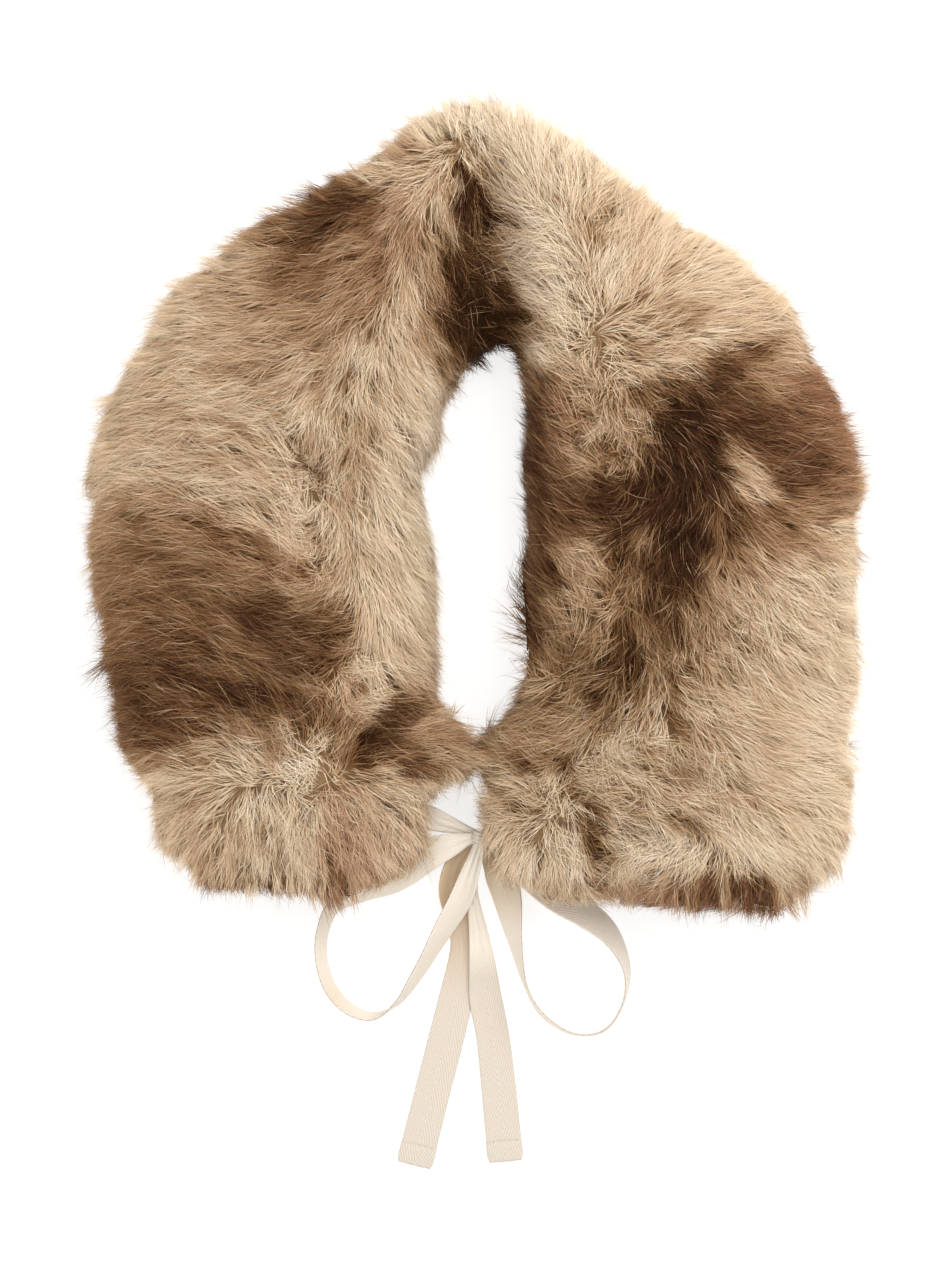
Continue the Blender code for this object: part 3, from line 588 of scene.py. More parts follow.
# Where the pile is curly and parts into small locks, or, with an amount below 0, lies smoother.
Curl = namedtuple("Curl", "x y reach amount")
BASE_CURL = 0.38
SMOOTHING = 2.5
CURLS = [Curl(*row) for row in (
    (111, 4, 24, 1.0), (64, -22, 26, 1.0), (62, 90, 24, 0.9), (66, 34, 22, 0.7), (102, -56, 24, 1.0),
    (58, -78, 28, 0.9), (24, -62, 20, 0.7), (34, 140, 26, 0.6), (100, 50, 22, 0.5),
    (-68, 100, 26, 0.65), (-62, 60, 18, 0.7), (-40, 150, 28, 0.5), (-20, 215, 22, 0.5),
    (-118, 80, 34, 0.6), (-140, 0, 40, 0.5), (-90, -70, 32, 0.6), (-70, 190, 26, 0.5),
    (150, 90, 22, 0.4), (2, 168, 20, 1.0), (46, 168, 22, 0.8), (56, 200, 22, 0.5), (18, 198, 16, 0.7),
    (66, 138, 24, 0.7), (34, 224, 20, -0.15), (100, 168, 30, -0.30), (150, -45, 38, -0.30),
    (-36, 20, 18, -0.20), (140, -95, 20, -0.25),
)]
STROKE_STEP = 5.5
STROKE_REACH = 4.0           # a stroke rules the hair as near as this, and fades beyond
LOCK_STEP = 3.0              # locks are laid in steps of this length
LOCK_STEPS = 14
LOCK_STIFFNESS = 0.45        # how much of its way a lock keeps from step to step
OUTWARD_KEPT = 0.4           # and how much of the way out of the pile
LOCK_HUG = 0.80              # how closely it follows the pile below it
HUG_STEEP = (0.45, 0.55)     # the share of that where the pile is steep, and more where it is level
LET_GO = -0.3                # where the pile faces down more than this, locks let go of it
LOCK_FALL = 0.9              # how strongly they turn down over the sides
LOCK_SPLAY = 9.0             # degrees by which single locks stray from the strokes
LOCK_RISE = 0.8              # how much higher or lower than the pile the ends of locks lie
LOCK_REACH = 0.08            # how much longer or shorter single locks are
LOCKS_PER_HALF = 8000
TUFT_SPLAY = 12.0            # the same for whole tufts, of about six locks each
TUFT_RISE = 1.35
TUFT_REACH = 0.18
TUFT_HOLD = 0.80             # how far the locks of a tuft keep to its way
TUFT_HOLD_PACE = 3.0         # how soon from their roots on they do so fully
TUFT_PINCH = 0.40            # and how far their ends are drawn together
TUFT_CROWN = 2.4             # how much higher the middle of a tuft stands than its sides
TUFT_WIDTH = 5.8
TUFTS_PER_HALF = 2200
LONE_EDGE = 0.75             # at the outline this share of the locks stands apart from its tuft,
LONE_PARTED = 2.0            # and where the strokes part clearly all of them do
LOOSE_AT = 0.15              # where the strokes part as much as this the hair stands up ...
CLEAR_AT = 0.75              # ... and where they agree as much as this it lies at full length
LOOSE_PACE = 0.50
WHIRL_REACH = 8.0            # tufts rooted this near a parting lie any way round ...
WHIRL_CLEAR = 0.80
WHIRL_CURVE = 0.7
WHIRL_FADE = 0.90            # ... and come into line in steps of this
HAIR_FLOOR = 0.5             # lowest that hair lies above the table
# What goes with the curl is a pair: the amount in smooth pile, and how much more it is in curly.
LOCK_STRAY = (0.5, 1.1)      # how far locks stray from the strokes
HAIR_STRAY = (0.6, 1.3)      # and hairs from their lock
HAIR_LONG = (1.05, -0.35)
HAIR_WIDE = (0.9, 0.35)
CROWN_HIGH = (0.15, 0.85)
GATHER = (0.14, 0.28)        # how far the hairs of a tuft run to one point,
GATHER_EDGE = 0.45           # how much more they do at the outline,
GATHER_MOST = 0.9            # how far at most,
GATHER_PARTED = 0.8          # and how much less where the strokes part


def by_curl(pair, curl):
    """The amount for this much curl."""
    return pair[0] + pair[1] * curl


def curliness(x, y):
    """How curly the pile is at places in plan: 0 for smooth, 1 for tight small locks."""
    curl = np.full_like(x, BASE_CURL)
    for row in CURLS:
        near = np.exp(-(((x - row.x) ** 2 + (y - row.y) ** 2) / row.reach**2))
        if row.amount > 0.0:
            curl = curl + (row.amount - curl) * near
        else:
            curl = curl * (1.0 + row.amount * SMOOTHING * near)
    return curl.clip(0.0, 1.0)


def comb_field(strokes):
    """Places along the strokes, a row each: x, y and the level way that the hair lies."""
    rows = []
    for stroke in strokes:
        steps = max(2, round(stroke.length / STROKE_STEP))
        x, y = stroke.x, stroke.y
        for k in range(steps + 1):
            heading = math.radians(stroke.heading + stroke.turn * k / steps)
            rows.append((x, y, math.cos(heading), math.sin(heading)))
            x += math.cos(heading) * stroke.length / steps
            y += math.sin(heading) * stroke.length / steps
    return np.array(rows)


def combed(field, places, reach):
    """The level way that the hair lies at each place, and how clearly it does (0 to 1)."""
    east = places[:, 0, None] - field[None, :, 0]
    north = places[:, 1, None] - field[None, :, 1]
    weight = (east**2 + north**2 + reach**2) ** -2
    ways = weight @ field[:, 2:]
    clear = np.linalg.norm(ways, axis=1) / weight.sum(axis=1)
    return unit(np.concatenate([ways, np.zeros((len(ways), 1))], axis=1)), clear


def scatter(skin, kept, count, dice):
    """Places spread over the kept triangles of a skin, with the smooth way out at each."""
    area = np.linalg.norm(face_ways(skin.points, skin.corners), axis=1) * kept
    picked = dice.choice(len(area), count, p=area / area.sum())
    shares = dice.dirichlet((1.0, 1.0, 1.0), count)
    corners = skin.corners[picked]
    places = (skin.points[corners] * shares[:, :, None]).sum(axis=1)
    outward = unit((skin.outward[corners] * shares[:, :, None]).sum(axis=1))
    return places, outward


def settle(skin, tree, places):
    """The nearest places on a skin, with the smooth way out at each."""
    on_skin = np.empty_like(places)
    faces = np.empty(len(places), int)
    for i, place in enumerate(places.tolist()):
        hit = tree.find_nearest(place)
        on_skin[i] = hit[0]
        faces[i] = hit[2]
    corners = skin.corners[faces]
    reach = np.linalg.norm(skin.points[corners] - on_skin[:, None], axis=2)
    share = 1.0 / (reach + 0.5)
    outward = unit((skin.outward[corners] * share[:, :, None]).sum(axis=1))
    return on_skin, outward


Locks = namedtuple("Locks", "paths outward deep rise reach tuft gather")


def facing_up(ways):
    """How far ways point up: 1 for straight up, 0 for level or down."""
    return ways[..., 2].clip(0.0, 1.0)


def stray_of(tuft, single, whole, dice):
    """A random amount for each lock, partly its own and partly its tuft's."""
    own = single * dice.standard_normal(len(tuft))
    return own + whole * dice.standard_normal(len(tuft))[tuft]


def lay_locks(skin, tree, kept, field, count, dice):
    """Locks of hair laid over the skin the way the strokes comb them."""
    place, out = scatter(skin, kept, count, dice)
    deep = depth_of(tree, place, out)
    heads = dice.choice(count, TUFTS_PER_HALF, replace=False)
    tuft = heads[nearest(place[heads], place)]
    clear = combed(field, place, WHIRL_REACH)[1]
    parted = (1.0 - clear / WHIRL_CLEAR).clip(0.0, 1.0) ** WHIRL_CURVE
    alone = dice.random(count) < np.maximum(LONE_EDGE * (1.0 - facing_up(out)), LONE_PARTED * parted)
    tuft = np.where(alone, np.arange(count), tuft)
    curl = curliness(place[:, 0], place[:, 1])[tuft]
    wild = by_curl(LOCK_STRAY, curl)
    stray = np.radians(wild * stray_of(tuft, LOCK_SPLAY, TUFT_SPLAY, dice))
    rise = wild * stray_of(tuft, LOCK_RISE, TUFT_RISE, dice)
    reach = 1.0 + stray_of(tuft, LOCK_REACH, TUFT_REACH, dice)
    around = parted * dice.uniform(-math.pi, math.pi, count)[tuft]
    paths, outward = run_locks(skin, tree, field, place, out, stray, around)
    edgewise = 1.0 - facing_up(out[tuft])
    gather = (by_curl(GATHER, curl) + GATHER_EDGE * edgewise).clip(0.0, GATHER_MOST)
    gather = gather * (1.0 - GATHER_PARTED * parted)
    return Locks(draw_tufts(paths, tuft), outward, deep, rise, reach, tuft, gather)


def run_locks(skin, tree, field, place, out, stray, around):
    """Runs locks over the skin step by step: their paths, and the way out of the pile on them."""
    paths = [place]
    outward = [out]
    ahead = None
    for step in range(LOCK_STEPS):
        combed_way, clear = combed(field, place, STROKE_REACH)
        way = turned(combed_way, stray + around * WHIRL_FADE**step)
        fall = (1.0 - facing_up(out)[:, None]) ** 2
        way = way + fall * np.array((0.0, 0.0, -LOCK_FALL))
        way = unit(way - out * (way * out).sum(axis=1, keepdims=True))
        ahead = way if ahead is None else unit(LOCK_STIFFNESS * ahead + (1.0 - LOCK_STIFFNESS) * way)
        pace = ((clear - LOOSE_AT) / (CLEAR_AT - LOOSE_AT)).clip(LOOSE_PACE, 1.0)
        moved = place + ahead * LOCK_STEP * pace[:, None]
        on_skin, out_now = settle(skin, tree, moved)
        holds = out_now[:, 2:] > LET_GO
        steep, level = HUG_STEEP
        hug = np.where(holds, LOCK_HUG * (steep + level * facing_up(out_now)[:, None]), 0.0)
        place = moved + (on_skin - moved) * hug
        place[:, 2] = np.maximum(place[:, 2], HAIR_FLOOR)
        out = unit(OUTWARD_KEPT * out + (1.0 - OUTWARD_KEPT) * np.where(holds, out_now, out))
        paths.append(place)
        outward.append(out)
    return np.stack(paths, axis=1), np.stack(outward, axis=1)


def draw_tufts(paths, tuft):
    """Draws the locks of each tuft to the path of the lock in its middle."""
    share = np.linspace(0.0, 1.0, LOCK_STEPS + 1)[:, None]
    offset = paths[:, :1] - paths[tuft, :1]
    drawn = paths[tuft] + offset * (1.0 - TUFT_PINCH * np.sqrt(share))
    hold = TUFT_HOLD * np.minimum(1.0, TUFT_HOLD_PACE * share)
    return paths * (1.0 - hold) + drawn * hold


def turned(ways, angles):
    """Level ways turned about +Z."""
    east = ways[:, 0] * np.cos(angles) - ways[:, 1] * np.sin(angles)
    north = ways[:, 0] * np.sin(angles) + ways[:, 1] * np.cos(angles)
    return np.stack([east, north, np.zeros_like(east)], axis=1)


def nearest(known, places):
    """Which of the known places each place is nearest to."""
    tree = KDTree(len(known))
    for i, place in enumerate(known.tolist()):
        tree.insert(place, i)
    tree.balance()
    return np.array([tree.find(place)[1] for place in places.tolist()])


# Each sort of hair.  length, width: of one hair, and vary, by how much of it lengths differ.
# points: stations from root to tip.  root_deep, tip_deep: how far under the top of the pile these
# lie, and tip_vary, how much tips differ.  pinch: how far hairs close up towards the ends of locks.
# splay, roll: degrees by which they stray and turn.  bend: how far they bow.  top: how far up the
# chart the tip is.  read: how far from root to tip the tone of the place is read.
Hair = namedtuple("Hair", "length vary width points root_deep tip_deep tip_vary"
                          " pinch splay bend roll top read")
UNDERFUR = Hair(11.5, 0.30, 0.50, 3, 8.0, 3.0, 1.3, 0.15, 16.0, 1.4, 34.0, 0.62, 1.0)
TOP_HAIR = Hair(21.0, 0.28, 0.24, 4, 8.5, 0.2, 1.3, 0.45, 10.0, 1.7, 30.0, 0.99, 1.0)
FLYAWAY = Hair(17.0, 0.30, 0.20, 4, 8.0, -1.2, 1.2, 0.10, 18.0, 3.5, 34.0, 0.99, 1.0)
LENGTHS = (0.45, 1.7)        # shortest and longest hair of a sort, as shares of its length,
LOCK_LENGTHS = (0.6, 1.5)    # and the same for whole locks
ROOT_SHARE = 0.42            # roots go no deeper than this share of what is there
# How late along a hair each of these comes about: 1 is evenly, and more is nearer to the tip.
PINCH_LATE = 1.4             # the hairs of a lock close up,
GATHER_LATE = 1.2            # and so do the locks of a tuft
RISE_LATE = 1.6              # the hair takes the depth of its tip,
SINK_LATE = 1.5              # and, counted from the tip, that of its root
TAPER_LATE = 2.5
PALE_LATE = 3                # a ticked hair turns pale, with its painted glint
LIT_AS_PILE = 0.6            # how far the light falls on a hair as it does on the pile as a whole
SHOWN_AT = 0.55              # what shows of a hair most, between its last two stations
EDGE_PAINTED_SHADE = 0.10             # painted shade: how much darker the hair is on the sides of the wrap
LOCK_TONE = (0.02, 0.06)     # how much the tones of locks differ, smooth and how much more curly,
HAIR_TONE = (0.03, 0.08)     # those of single hairs,
TUFT_GAP_SHADE = (0.03, 0.14)     # and painted shade: how much darker the sides of a tuft are than its middle
PALE_CURLY = (1.0, 3.5)      # how many times more hairs stay pale in a dark patch,
PALE_TONE = 0.5              # and how much of the tone they take
TONES = (0.01, 0.985)        # of the palest and the darkest hair
TICKED_AND_GLINT_HAIRS = 0.40          # share of the hairs with a paler tip, partly ticking and partly painted glints,
TICKING_AND_GLINT = (0.4, 0.6)         # and how pale it is
ROOTS_SHOW = (0.55, 0.45)    # how far down the chart a hair reaches
CHART_RIM = 0.01             # nothing lies nearer than this to the rim of a sort's chart
HAIR_ON_CHART = 0.003        # half of the width of a hair on the chart

# The hairs of one mesh: the lock that each grows in, the lock in the middle of its tuft, how curly
# the pile is there, how near the middle of the tuft it stands, and its stations from 0 to 1.
Roots = namedtuple("Roots", "kind locks lock head curl crown share")


def grow_hair(name, locks, places, kind, dice, colour, light):
    """A joined mesh of tapering hairs, each laid along the lock that it grows in."""
    lock = nearest(locks.paths[:, 0], places)
    head = locks.tuft[lock]
    curl = curliness(places[:, 0], places[:, 1])
    aside = np.linalg.norm(places - locks.paths[head, 0], axis=1) / (0.5 * TUFT_WIDTH)
    crown = (1.0 - aside**2).clip(-1.2, 1.0)
    roots = Roots(kind, locks, lock, head, curl, crown, np.linspace(0.0, 1.0, kind.points))
    middles, out = lay_hairs(roots, places, dice)
    points, lit = widen_hairs(roots, middles, out, dice)
    chart = colour_hairs(roots, middles, colour, light, dice)
    return hair_mesh(name, points, lit, chart, kind.points)


def lay_hairs(roots, places, dice):
    """The stations of each hair, and the way out of the pile at each."""
    kind, locks, lock, head, curl, crown, share = roots
    count = len(places)
    length = kind.length * (1.0 + kind.vary * dice.standard_normal(count)).clip(*LENGTHS)
    length = length * locks.reach[lock].clip(*LOCK_LENGTHS) * by_curl(HAIR_LONG, curl)
    at = (length[:, None] * share / LOCK_STEP).clip(0.0, LOCK_STEPS - 0.001)
    low = at.astype(int)
    part = (at - low)[:, :, None]

    def along(tracks, lock):
        """What the tracks of locks are at the stations."""
        return tracks[lock[:, None], low] * (1.0 - part) + tracks[lock[:, None], low + 1] * part

    out = unit(along(locks.outward, lock))
    pinch = kind.pinch * dice.uniform(0.3, 1.3, count)
    spread = 1.0 - pinch[:, None] * share**PINCH_LATE
    place = along(locks.paths, lock) + (places - locks.paths[lock, 0])[:, None] * spread[:, :, None]
    gather = locks.gather[lock] * dice.uniform(0.6, 1.1, count)
    drawn = (gather[:, None] * share**GATHER_LATE)[:, :, None]
    place = place + (along(locks.paths, head) - place) * drawn
    root_deep = np.minimum(kind.root_deep, ROOT_SHARE * locks.deep[lock])
    tip_deep = kind.tip_deep + kind.tip_vary * dice.standard_normal(count) - locks.rise[lock]
    tip_deep = tip_deep - TUFT_CROWN * by_curl(CROWN_HIGH, curl) * (crown - 0.4)
    sink = root_deep[:, None] * (1.0 - share) ** SINK_LATE + tip_deep[:, None] * share**RISE_LATE
    place = place - out * sink[:, :, None]
    side = unit(np.cross(np.gradient(place, axis=1), out))
    wild = by_curl(HAIR_STRAY, curl)
    splay = length * np.tan(np.radians(kind.splay)) * wild * (1.0 - 0.8 * gather)
    splay = splay * dice.standard_normal(count)
    bend = kind.bend * wild * dice.standard_normal(count)
    place = place + side * (splay[:, None] * share + bend[:, None] * share**2)[:, :, None]
    floor = HAIR_FLOOR * dice.uniform(0.6, 2.0, count)
    place[:, :, 2] = np.maximum(place[:, :, 2], floor[:, None])
    return place, out


def widen_hairs(roots, middles, out, dice):
    """The points of hairs that taper from root to tip, and the way that each takes the light."""
    kind, share = roots.kind, roots.share
    count = len(middles)
    ahead = unit(np.gradient(middles, axis=1))
    side = unit(np.cross(ahead, out))
    roll = np.radians(kind.roll * dice.standard_normal(count)).clip(-1.3, 1.3)[:, None, None]
    across = side * np.cos(roll) + unit(np.cross(side, ahead)) * np.sin(roll)
    facing = unit(np.cross(across, ahead))
    width = kind.width * dice.uniform(0.7, 1.25, count) * by_curl(HAIR_WIDE, roots.curl)
    half = 0.5 * width[:, None, None] * (1.0 - share**TAPER_LATE)[:, None]
    edges = np.stack([middles - across * half, middles + across * half], axis=2)[:, 1:-1]
    points = np.concatenate([middles[:, :1], edges.reshape(count, -1, 3), middles[:, -1:]], axis=1)
    lit = unit(out * LIT_AS_PILE + facing * (1.0 - LIT_AS_PILE))
    lit = np.concatenate([lit[:, :1], np.repeat(lit[:, 1:-1], 2, axis=1), lit[:, -1:]], axis=1)
    return points, lit


def colour_hairs(roots, middles, colour, light, dice):
    """The place on the hair chart of each point of the hairs."""
    kind, locks, lock, head, curl, crown, share = roots
    count = len(middles)
    shown = (1.0 - SHOWN_AT) * middles[:, -2] + SHOWN_AT * middles[:, -1]
    shown = middles[:, 0] + kind.read * (shown - middles[:, 0])
    tone, rust = colour(shown[:, 0], shown[:, 1])
    tone = tone + by_curl(LOCK_TONE, curl) * dice.standard_normal(len(locks.paths))[lock]
    tone = tone + by_curl(HAIR_TONE, curl) * dice.standard_normal(count)
    # painted shade in the gaps between tufts: their sides darker than their middles
    tone = tone + by_curl(TUFT_GAP_SHADE, curl) * (0.5 - crown)
    # painted shade on the sides of the wrap, where the lamps and the glowing table light the hair most
    tone = tone + EDGE_PAINTED_SHADE * (1.0 - facing_up(locks.outward[lock, 0])) * (1.0 - tone)
    pale = dice.random(count) < light * by_curl(PALE_CURLY, curl)
    tone = np.where(pale, tone * PALE_TONE, tone).clip(*TONES)
    # paler tips: partly the hair's own ticking, partly painted glints of sheen
    ticked_and_glint = np.where(dice.random(count) < TICKED_AND_GLINT_HAIRS, dice.uniform(0.2, 0.6, count), 0.0)
    ticked_and_glint = ticked_and_glint * by_curl(TICKING_AND_GLINT, curl) * (1.2 - tone)
    rusty = dice.random(count) < rust
    up = np.concatenate([[CHART_RIM], np.repeat(share[1:-1], 2), [1.0]])
    heights = 1.0 - (1.0 - kind.top * up) * by_curl(ROOTS_SHOW, curl)[:, None]
    heights[:, 0] = CHART_RIM
    heights = (rusty[:, None] + heights.clip(CHART_RIM, 1.0 - CHART_RIM)) / SORTS
    shifts = np.concatenate([[0.0], np.tile((-HAIR_ON_CHART, HAIR_ON_CHART), kind.points - 2), [0.0]])
    tones = (tone[:, None] * (1.0 - ticked_and_glint[:, None] * up**PALE_LATE) + shifts).clip(0.004, 0.996)
    return np.stack([tones, heights], axis=2)


def hair_mesh(name, points, lit, chart, stations):
    """The mesh of many hairs: each a triangle, quads and a triangle from its root to its tip."""
    count, size = points.shape[:2]
    faces = [(0, 2, 1)]
    faces += [(2 * k + 1, 2 * k + 2, 2 * k + 4, 2 * k + 3) for k in range(stations - 3)]
    faces.append((size - 3, size - 2, size - 1))
    corners = np.array([i for face in faces for i in face])
    sizes = np.array([len(face) for face in faces])
    ends = (np.arange(count)[:, None] * size + corners).ravel()
    starts = np.concatenate([[0], np.cumsum(np.tile(sizes, count))[:-1]])
    mesh = bpy.data.meshes.new(name)
    mesh.vertices.add(count * size)
    mesh.vertices.foreach_set("co", (points * MM).astype(np.float32).ravel())
    mesh.loops.add(len(ends))
    mesh.loops.foreach_set("vertex_index", ends.astype(np.int32))
    mesh.polygons.add(len(starts))
    mesh.polygons.foreach_set("loop_start", starts.astype(np.int32))
    layer = mesh.uv_layers.new(name=CHART)
    layer.data.foreach_set("uv", chart.reshape(-1, 2)[ends].astype(np.float32).ravel())
    mesh.update(calc_edges=True)
    mesh.shade_smooth()
    mesh.normals_split_custom_set_from_vertices(lit.reshape(-1, 3))
    mesh.materials.append(fur_finish)
    fur = bpy.data.objects.new(name, mesh)
    scene.collection.objects.link(fur)
    return fur


UNDERFUR_PER_HALF = 54000
TOP_HAIR_PER_PIECE = 38000
FLYAWAY_PER_HALF = 3500
STROKES = {"left": LEFT_STROKES, "right": RIGHT_STROKES}
PALE_HAIRS = 0.02            # share of the top hairs that stay pale in a dark patch
SIDE_SEEDS = {"left": 101, "right": 202}

both_halves = skin_of(*UPPER_HALVES.values())
both_tree = BVHTree.FromPolygons(both_halves.points.tolist(), both_halves.corners.tolist())
both_kept = grows_hair(both_halves)
in_left = np.arange(len(both_kept)) < len(skin_of(UPPER_HALVES["left"]).corners)
own_side = {"left": in_left, "right": ~in_left}
upper_furs = {"left": [], "right": []}
for side in UPPER_HALVES:
    dice = np.random.default_rng(SIDE_SEEDS[side])
    kept = both_kept & own_side[side]
    locks = lay_locks(both_halves, both_tree, kept, comb_field(STROKES[side]), LOCKS_PER_HALF, dice)
    crops = [
        (f"underfur_{side}", UNDERFUR, UNDERFUR_PER_HALF, 0.0),
        (f"top_hair_{side}_a", TOP_HAIR, TOP_HAIR_PER_PIECE, PALE_HAIRS),
        (f"top_hair_{side}_b", TOP_HAIR, TOP_HAIR_PER_PIECE, PALE_HAIRS),
        (f"flyaway_{side}", FLYAWAY, FLYAWAY_PER_HALF, PALE_HAIRS),
    ]
    for name, kind, count, light in crops:
        places, outward = scatter(both_halves, kept, count, dice)
        fur = grow_hair(name, locks, places, kind, dice, hair_colour, light)
        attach(fur, "root")
        upper_furs[side].append(fur)


# ---- Upper collar: wisps along the outline -------------------------------------------------------
# Past the edge of the pile the longest top hairs cling together in pointed wisps, and where the
# front ends meet they reach across to each other.  Each row is the tip of one and its heading.
Wisp = namedtuple("Wisp", "x y heading")
WISPS = {
    "left": (
        (-177, 99, 185), (-177, 90, 190), (-177, 80, 195), (-177, 49, 200), (-177, 42, 205),
        (-178, 20, 215), (-177, 8, 212), (-174, -4.5, 210), (-172, -13, 205), (-172, -25, 205),
        (-170, -31, 205), (-169, -37, 200), (-166, -50, 205), (-158.5, -62, 210), (-154, -69, 215),
        (-143, -95, 225), (-137, -108, 235), (-128, -117, 250), (-119, -118, 258), (-111, -120, 262),
        (-103, -124, 262), (-96, -121, 266), (-88, -123, 268), (-80, -121, 270), (-72, -127, 272),
        (-65, -131, 276), (-58, -130, 280), (-60, -128, 290), (-50, -118, 300), (-42, -114, 305),
        (-34, -108, 310), (-27, -100, 320), (4, -48, -5), (7, -53, -12), (5, -60, -18), (-27, 240, 130),
        (-40, 229, 148), (-48, 222, 154), (-57, 215, 158), (-70, 209, 160), (-82, 204, 161),
        (-92, 197, 164), (-103, 191, 165), (-112, 184, 166), (-122, 178, 167), (-129, 171, 168),
        (-135, 162, 170), (-145, 156, 170), (-151, 147, 172), (-156, 137, 174), (-164, 125, 176),
        (-8, 246, 105), (-17, 245, 112), (-35, 233, 122),
    ),
    "right": (
        (0, 245, 95), (8, 246, 92), (30, 238, 85), (38, 237, 75), (46, 229, 65), (58, 220, 58),
        (68, 212, 54), (81, 203, 50), (92, 194, 48), (104, 186, 48), (115, 180, 45), (127, 173, 42),
        (138, 162, 40), (146, 153, 38), (176, 97, 5), (178, 78, 0), (178, 50, -5), (176, 30, -8),
        (177, 10, -10), (177, -10, -12), (177, -30, -15), (176, -45, -15), (175, -60, -18),
        (174, -78, -22), (171, -92, -28), (16, 244, 88), (23, 241, 86), (177, 90, 0), (180, 66, 350),
        (-8, -52, 165), (-9, -59, 170), (3, -100, 235), (6, -106, 245), (10, -110, 250),
        (16, -113, 255), (22, -116, 262), (28, -118, 268), (35, -119, 270), (42, -118, 275),
        (50, -117, 280), (84, -129, 262), (97, -130, 265), (110, -131, 270), (122, -132, 270),
        (134, -131, 275), (145, -129, 285), (150, -131, 300), (158, -115, 310), (166, -108, 320),
    ),
}
WISP_HAIR = Hair(17.0, 0.20, 0.22, 4, 8.5, 0.6, 0.8, 0.30, 6.0, 1.4, 30.0, 0.99, 0.5)
WISP_HAIRS = 22              # in each small wisp
WISP_WIDTH = 3.6
WISP_SPLIT = 3               # small wisps at each row,
WISP_TURN = 7.0              # about so many degrees apart,
WISP_ASIDE = 3.0             # so far apart along the outline,
WISP_SHORT = 1.5             # and this much shorter
WISP_SINK = 1.5              # how far a wisp comes down in a step, beyond the pile
WISP_LEAN = 0.6              # how far it faces outwards
WISP_GATHER = 0.85           # how far its hairs run to one point
WISP_DEEP = 20.0             # how deep the pile is taken to be below it
SKY = 90.0                   # higher than all the pile


def lay_wisps(rows, tree, dice):
    """A lock for each wisp, level with the pile at its root and out past the edge."""
    paths = []
    outward = []
    for row in np.repeat(rows, WISP_SPLIT, axis=0):
        wisp = Wisp(*row)
        aside, short, turn = dice.standard_normal(3)
        heading = math.radians(wisp.heading + WISP_TURN * turn)
        way = np.array((math.cos(heading), math.sin(heading)))
        place = np.array((wisp.x, wisp.y)) - way * (WISP_HAIR.length + WISP_SHORT * abs(short))
        place = place + WISP_ASIDE * aside * np.array((-way[1], way[0]))
        height = 0.0
        for step in range(LOCK_STEPS + 1):
            hit = tree.ray_cast((place[0], place[1], SKY), (0.0, 0.0, -1.0))[0]
            pile = hit.z if hit is not None else HAIR_FLOOR
            height = max(pile, height - WISP_SINK)
            paths.append((place[0], place[1], height))
            outward.append((WISP_LEAN * way[0], WISP_LEAN * way[1], 1.0))
            place = place + way * LOCK_STEP
    count = WISP_SPLIT * len(rows)
    paths = np.array(paths).reshape(count, -1, 3)
    outward = unit(np.array(outward)).reshape(count, -1, 3)
    deep = np.full(count, WISP_DEEP)
    gather = np.full(count, WISP_GATHER)
    return Locks(paths, outward, deep, np.zeros(count), np.ones(count), np.arange(count), gather)


def wisp_roots(locks, dice):
    """Places round the root of each wisp."""
    spread = dice.standard_normal((len(locks.paths) * WISP_HAIRS, 3)) * (1.0, 1.0, 0.0)
    return np.repeat(locks.paths[:, 0], WISP_HAIRS, axis=0) + 0.35 * WISP_WIDTH * spread


for side, rows in WISPS.items():
    dice = np.random.default_rng(SIDE_SEEDS[side] + 7)
    locks = lay_wisps(rows, both_tree, dice)
    fur = grow_hair(f"wisps_{side}", locks, wisp_roots(locks, dice), WISP_HAIR, dice, hair_colour, 0.0)
    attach(fur, "root")
    upper_furs[side].append(fur)

UNDER_HALVES = {"left": "collar_under_left", "right": "collar_under_right"}
for side in UPPER_HALVES:
    fur = upper_furs[side]


# ---- Under collar: the same fur cloth with its pile down and out ---------------------------------
# A second layer of fur cloth lines each half, browner and shorter.  It lies flat on the table
# and shows only as a fringe below the outline.
UNDER_TONE = 0.57
UNDER_TONE_RIGHT = 0.05      # how much darker the right half is
UNDER_TONE_WAVE = 0.14       # and how much the tone wanders
UNDER_RUST = 0.55
UNDER_LOCKS = 2600
UNDER_HAIRS = 12000
UNDER_STEP = 0.55            # share of a step that its shorter locks take
UNDER_DROP = 0.16            # how fast they turn down to the table
UNDER_LIFT = 0.3             # how far they start along the slope of the edge
UNDER_SLANT = 0.45           # how far they wander along the edge in common,
UNDER_STRAY = 0.2            # and each on its own
UNDER_DEEP = 12.0            # how deep its pile is taken to be
UNDER_HAIR = Hair(10.0, 0.28, 0.40, 3, 5.0, 0.8, 1.2, 0.35, 12.0, 1.4, 34.0, 0.99, 1.0)
UNDER_SEEDS = {"left": 303, "right": 404}


def under_colour(x, y):
    """Tone and share of rusty hairs in the under collar."""
    tone = UNDER_TONE + UNDER_TONE_RIGHT * (x > 0.0) + UNDER_TONE_WAVE * ripple(x, y, 34.0, 19)
    return tone.clip(0.0, 0.8), np.full_like(x, UNDER_RUST)


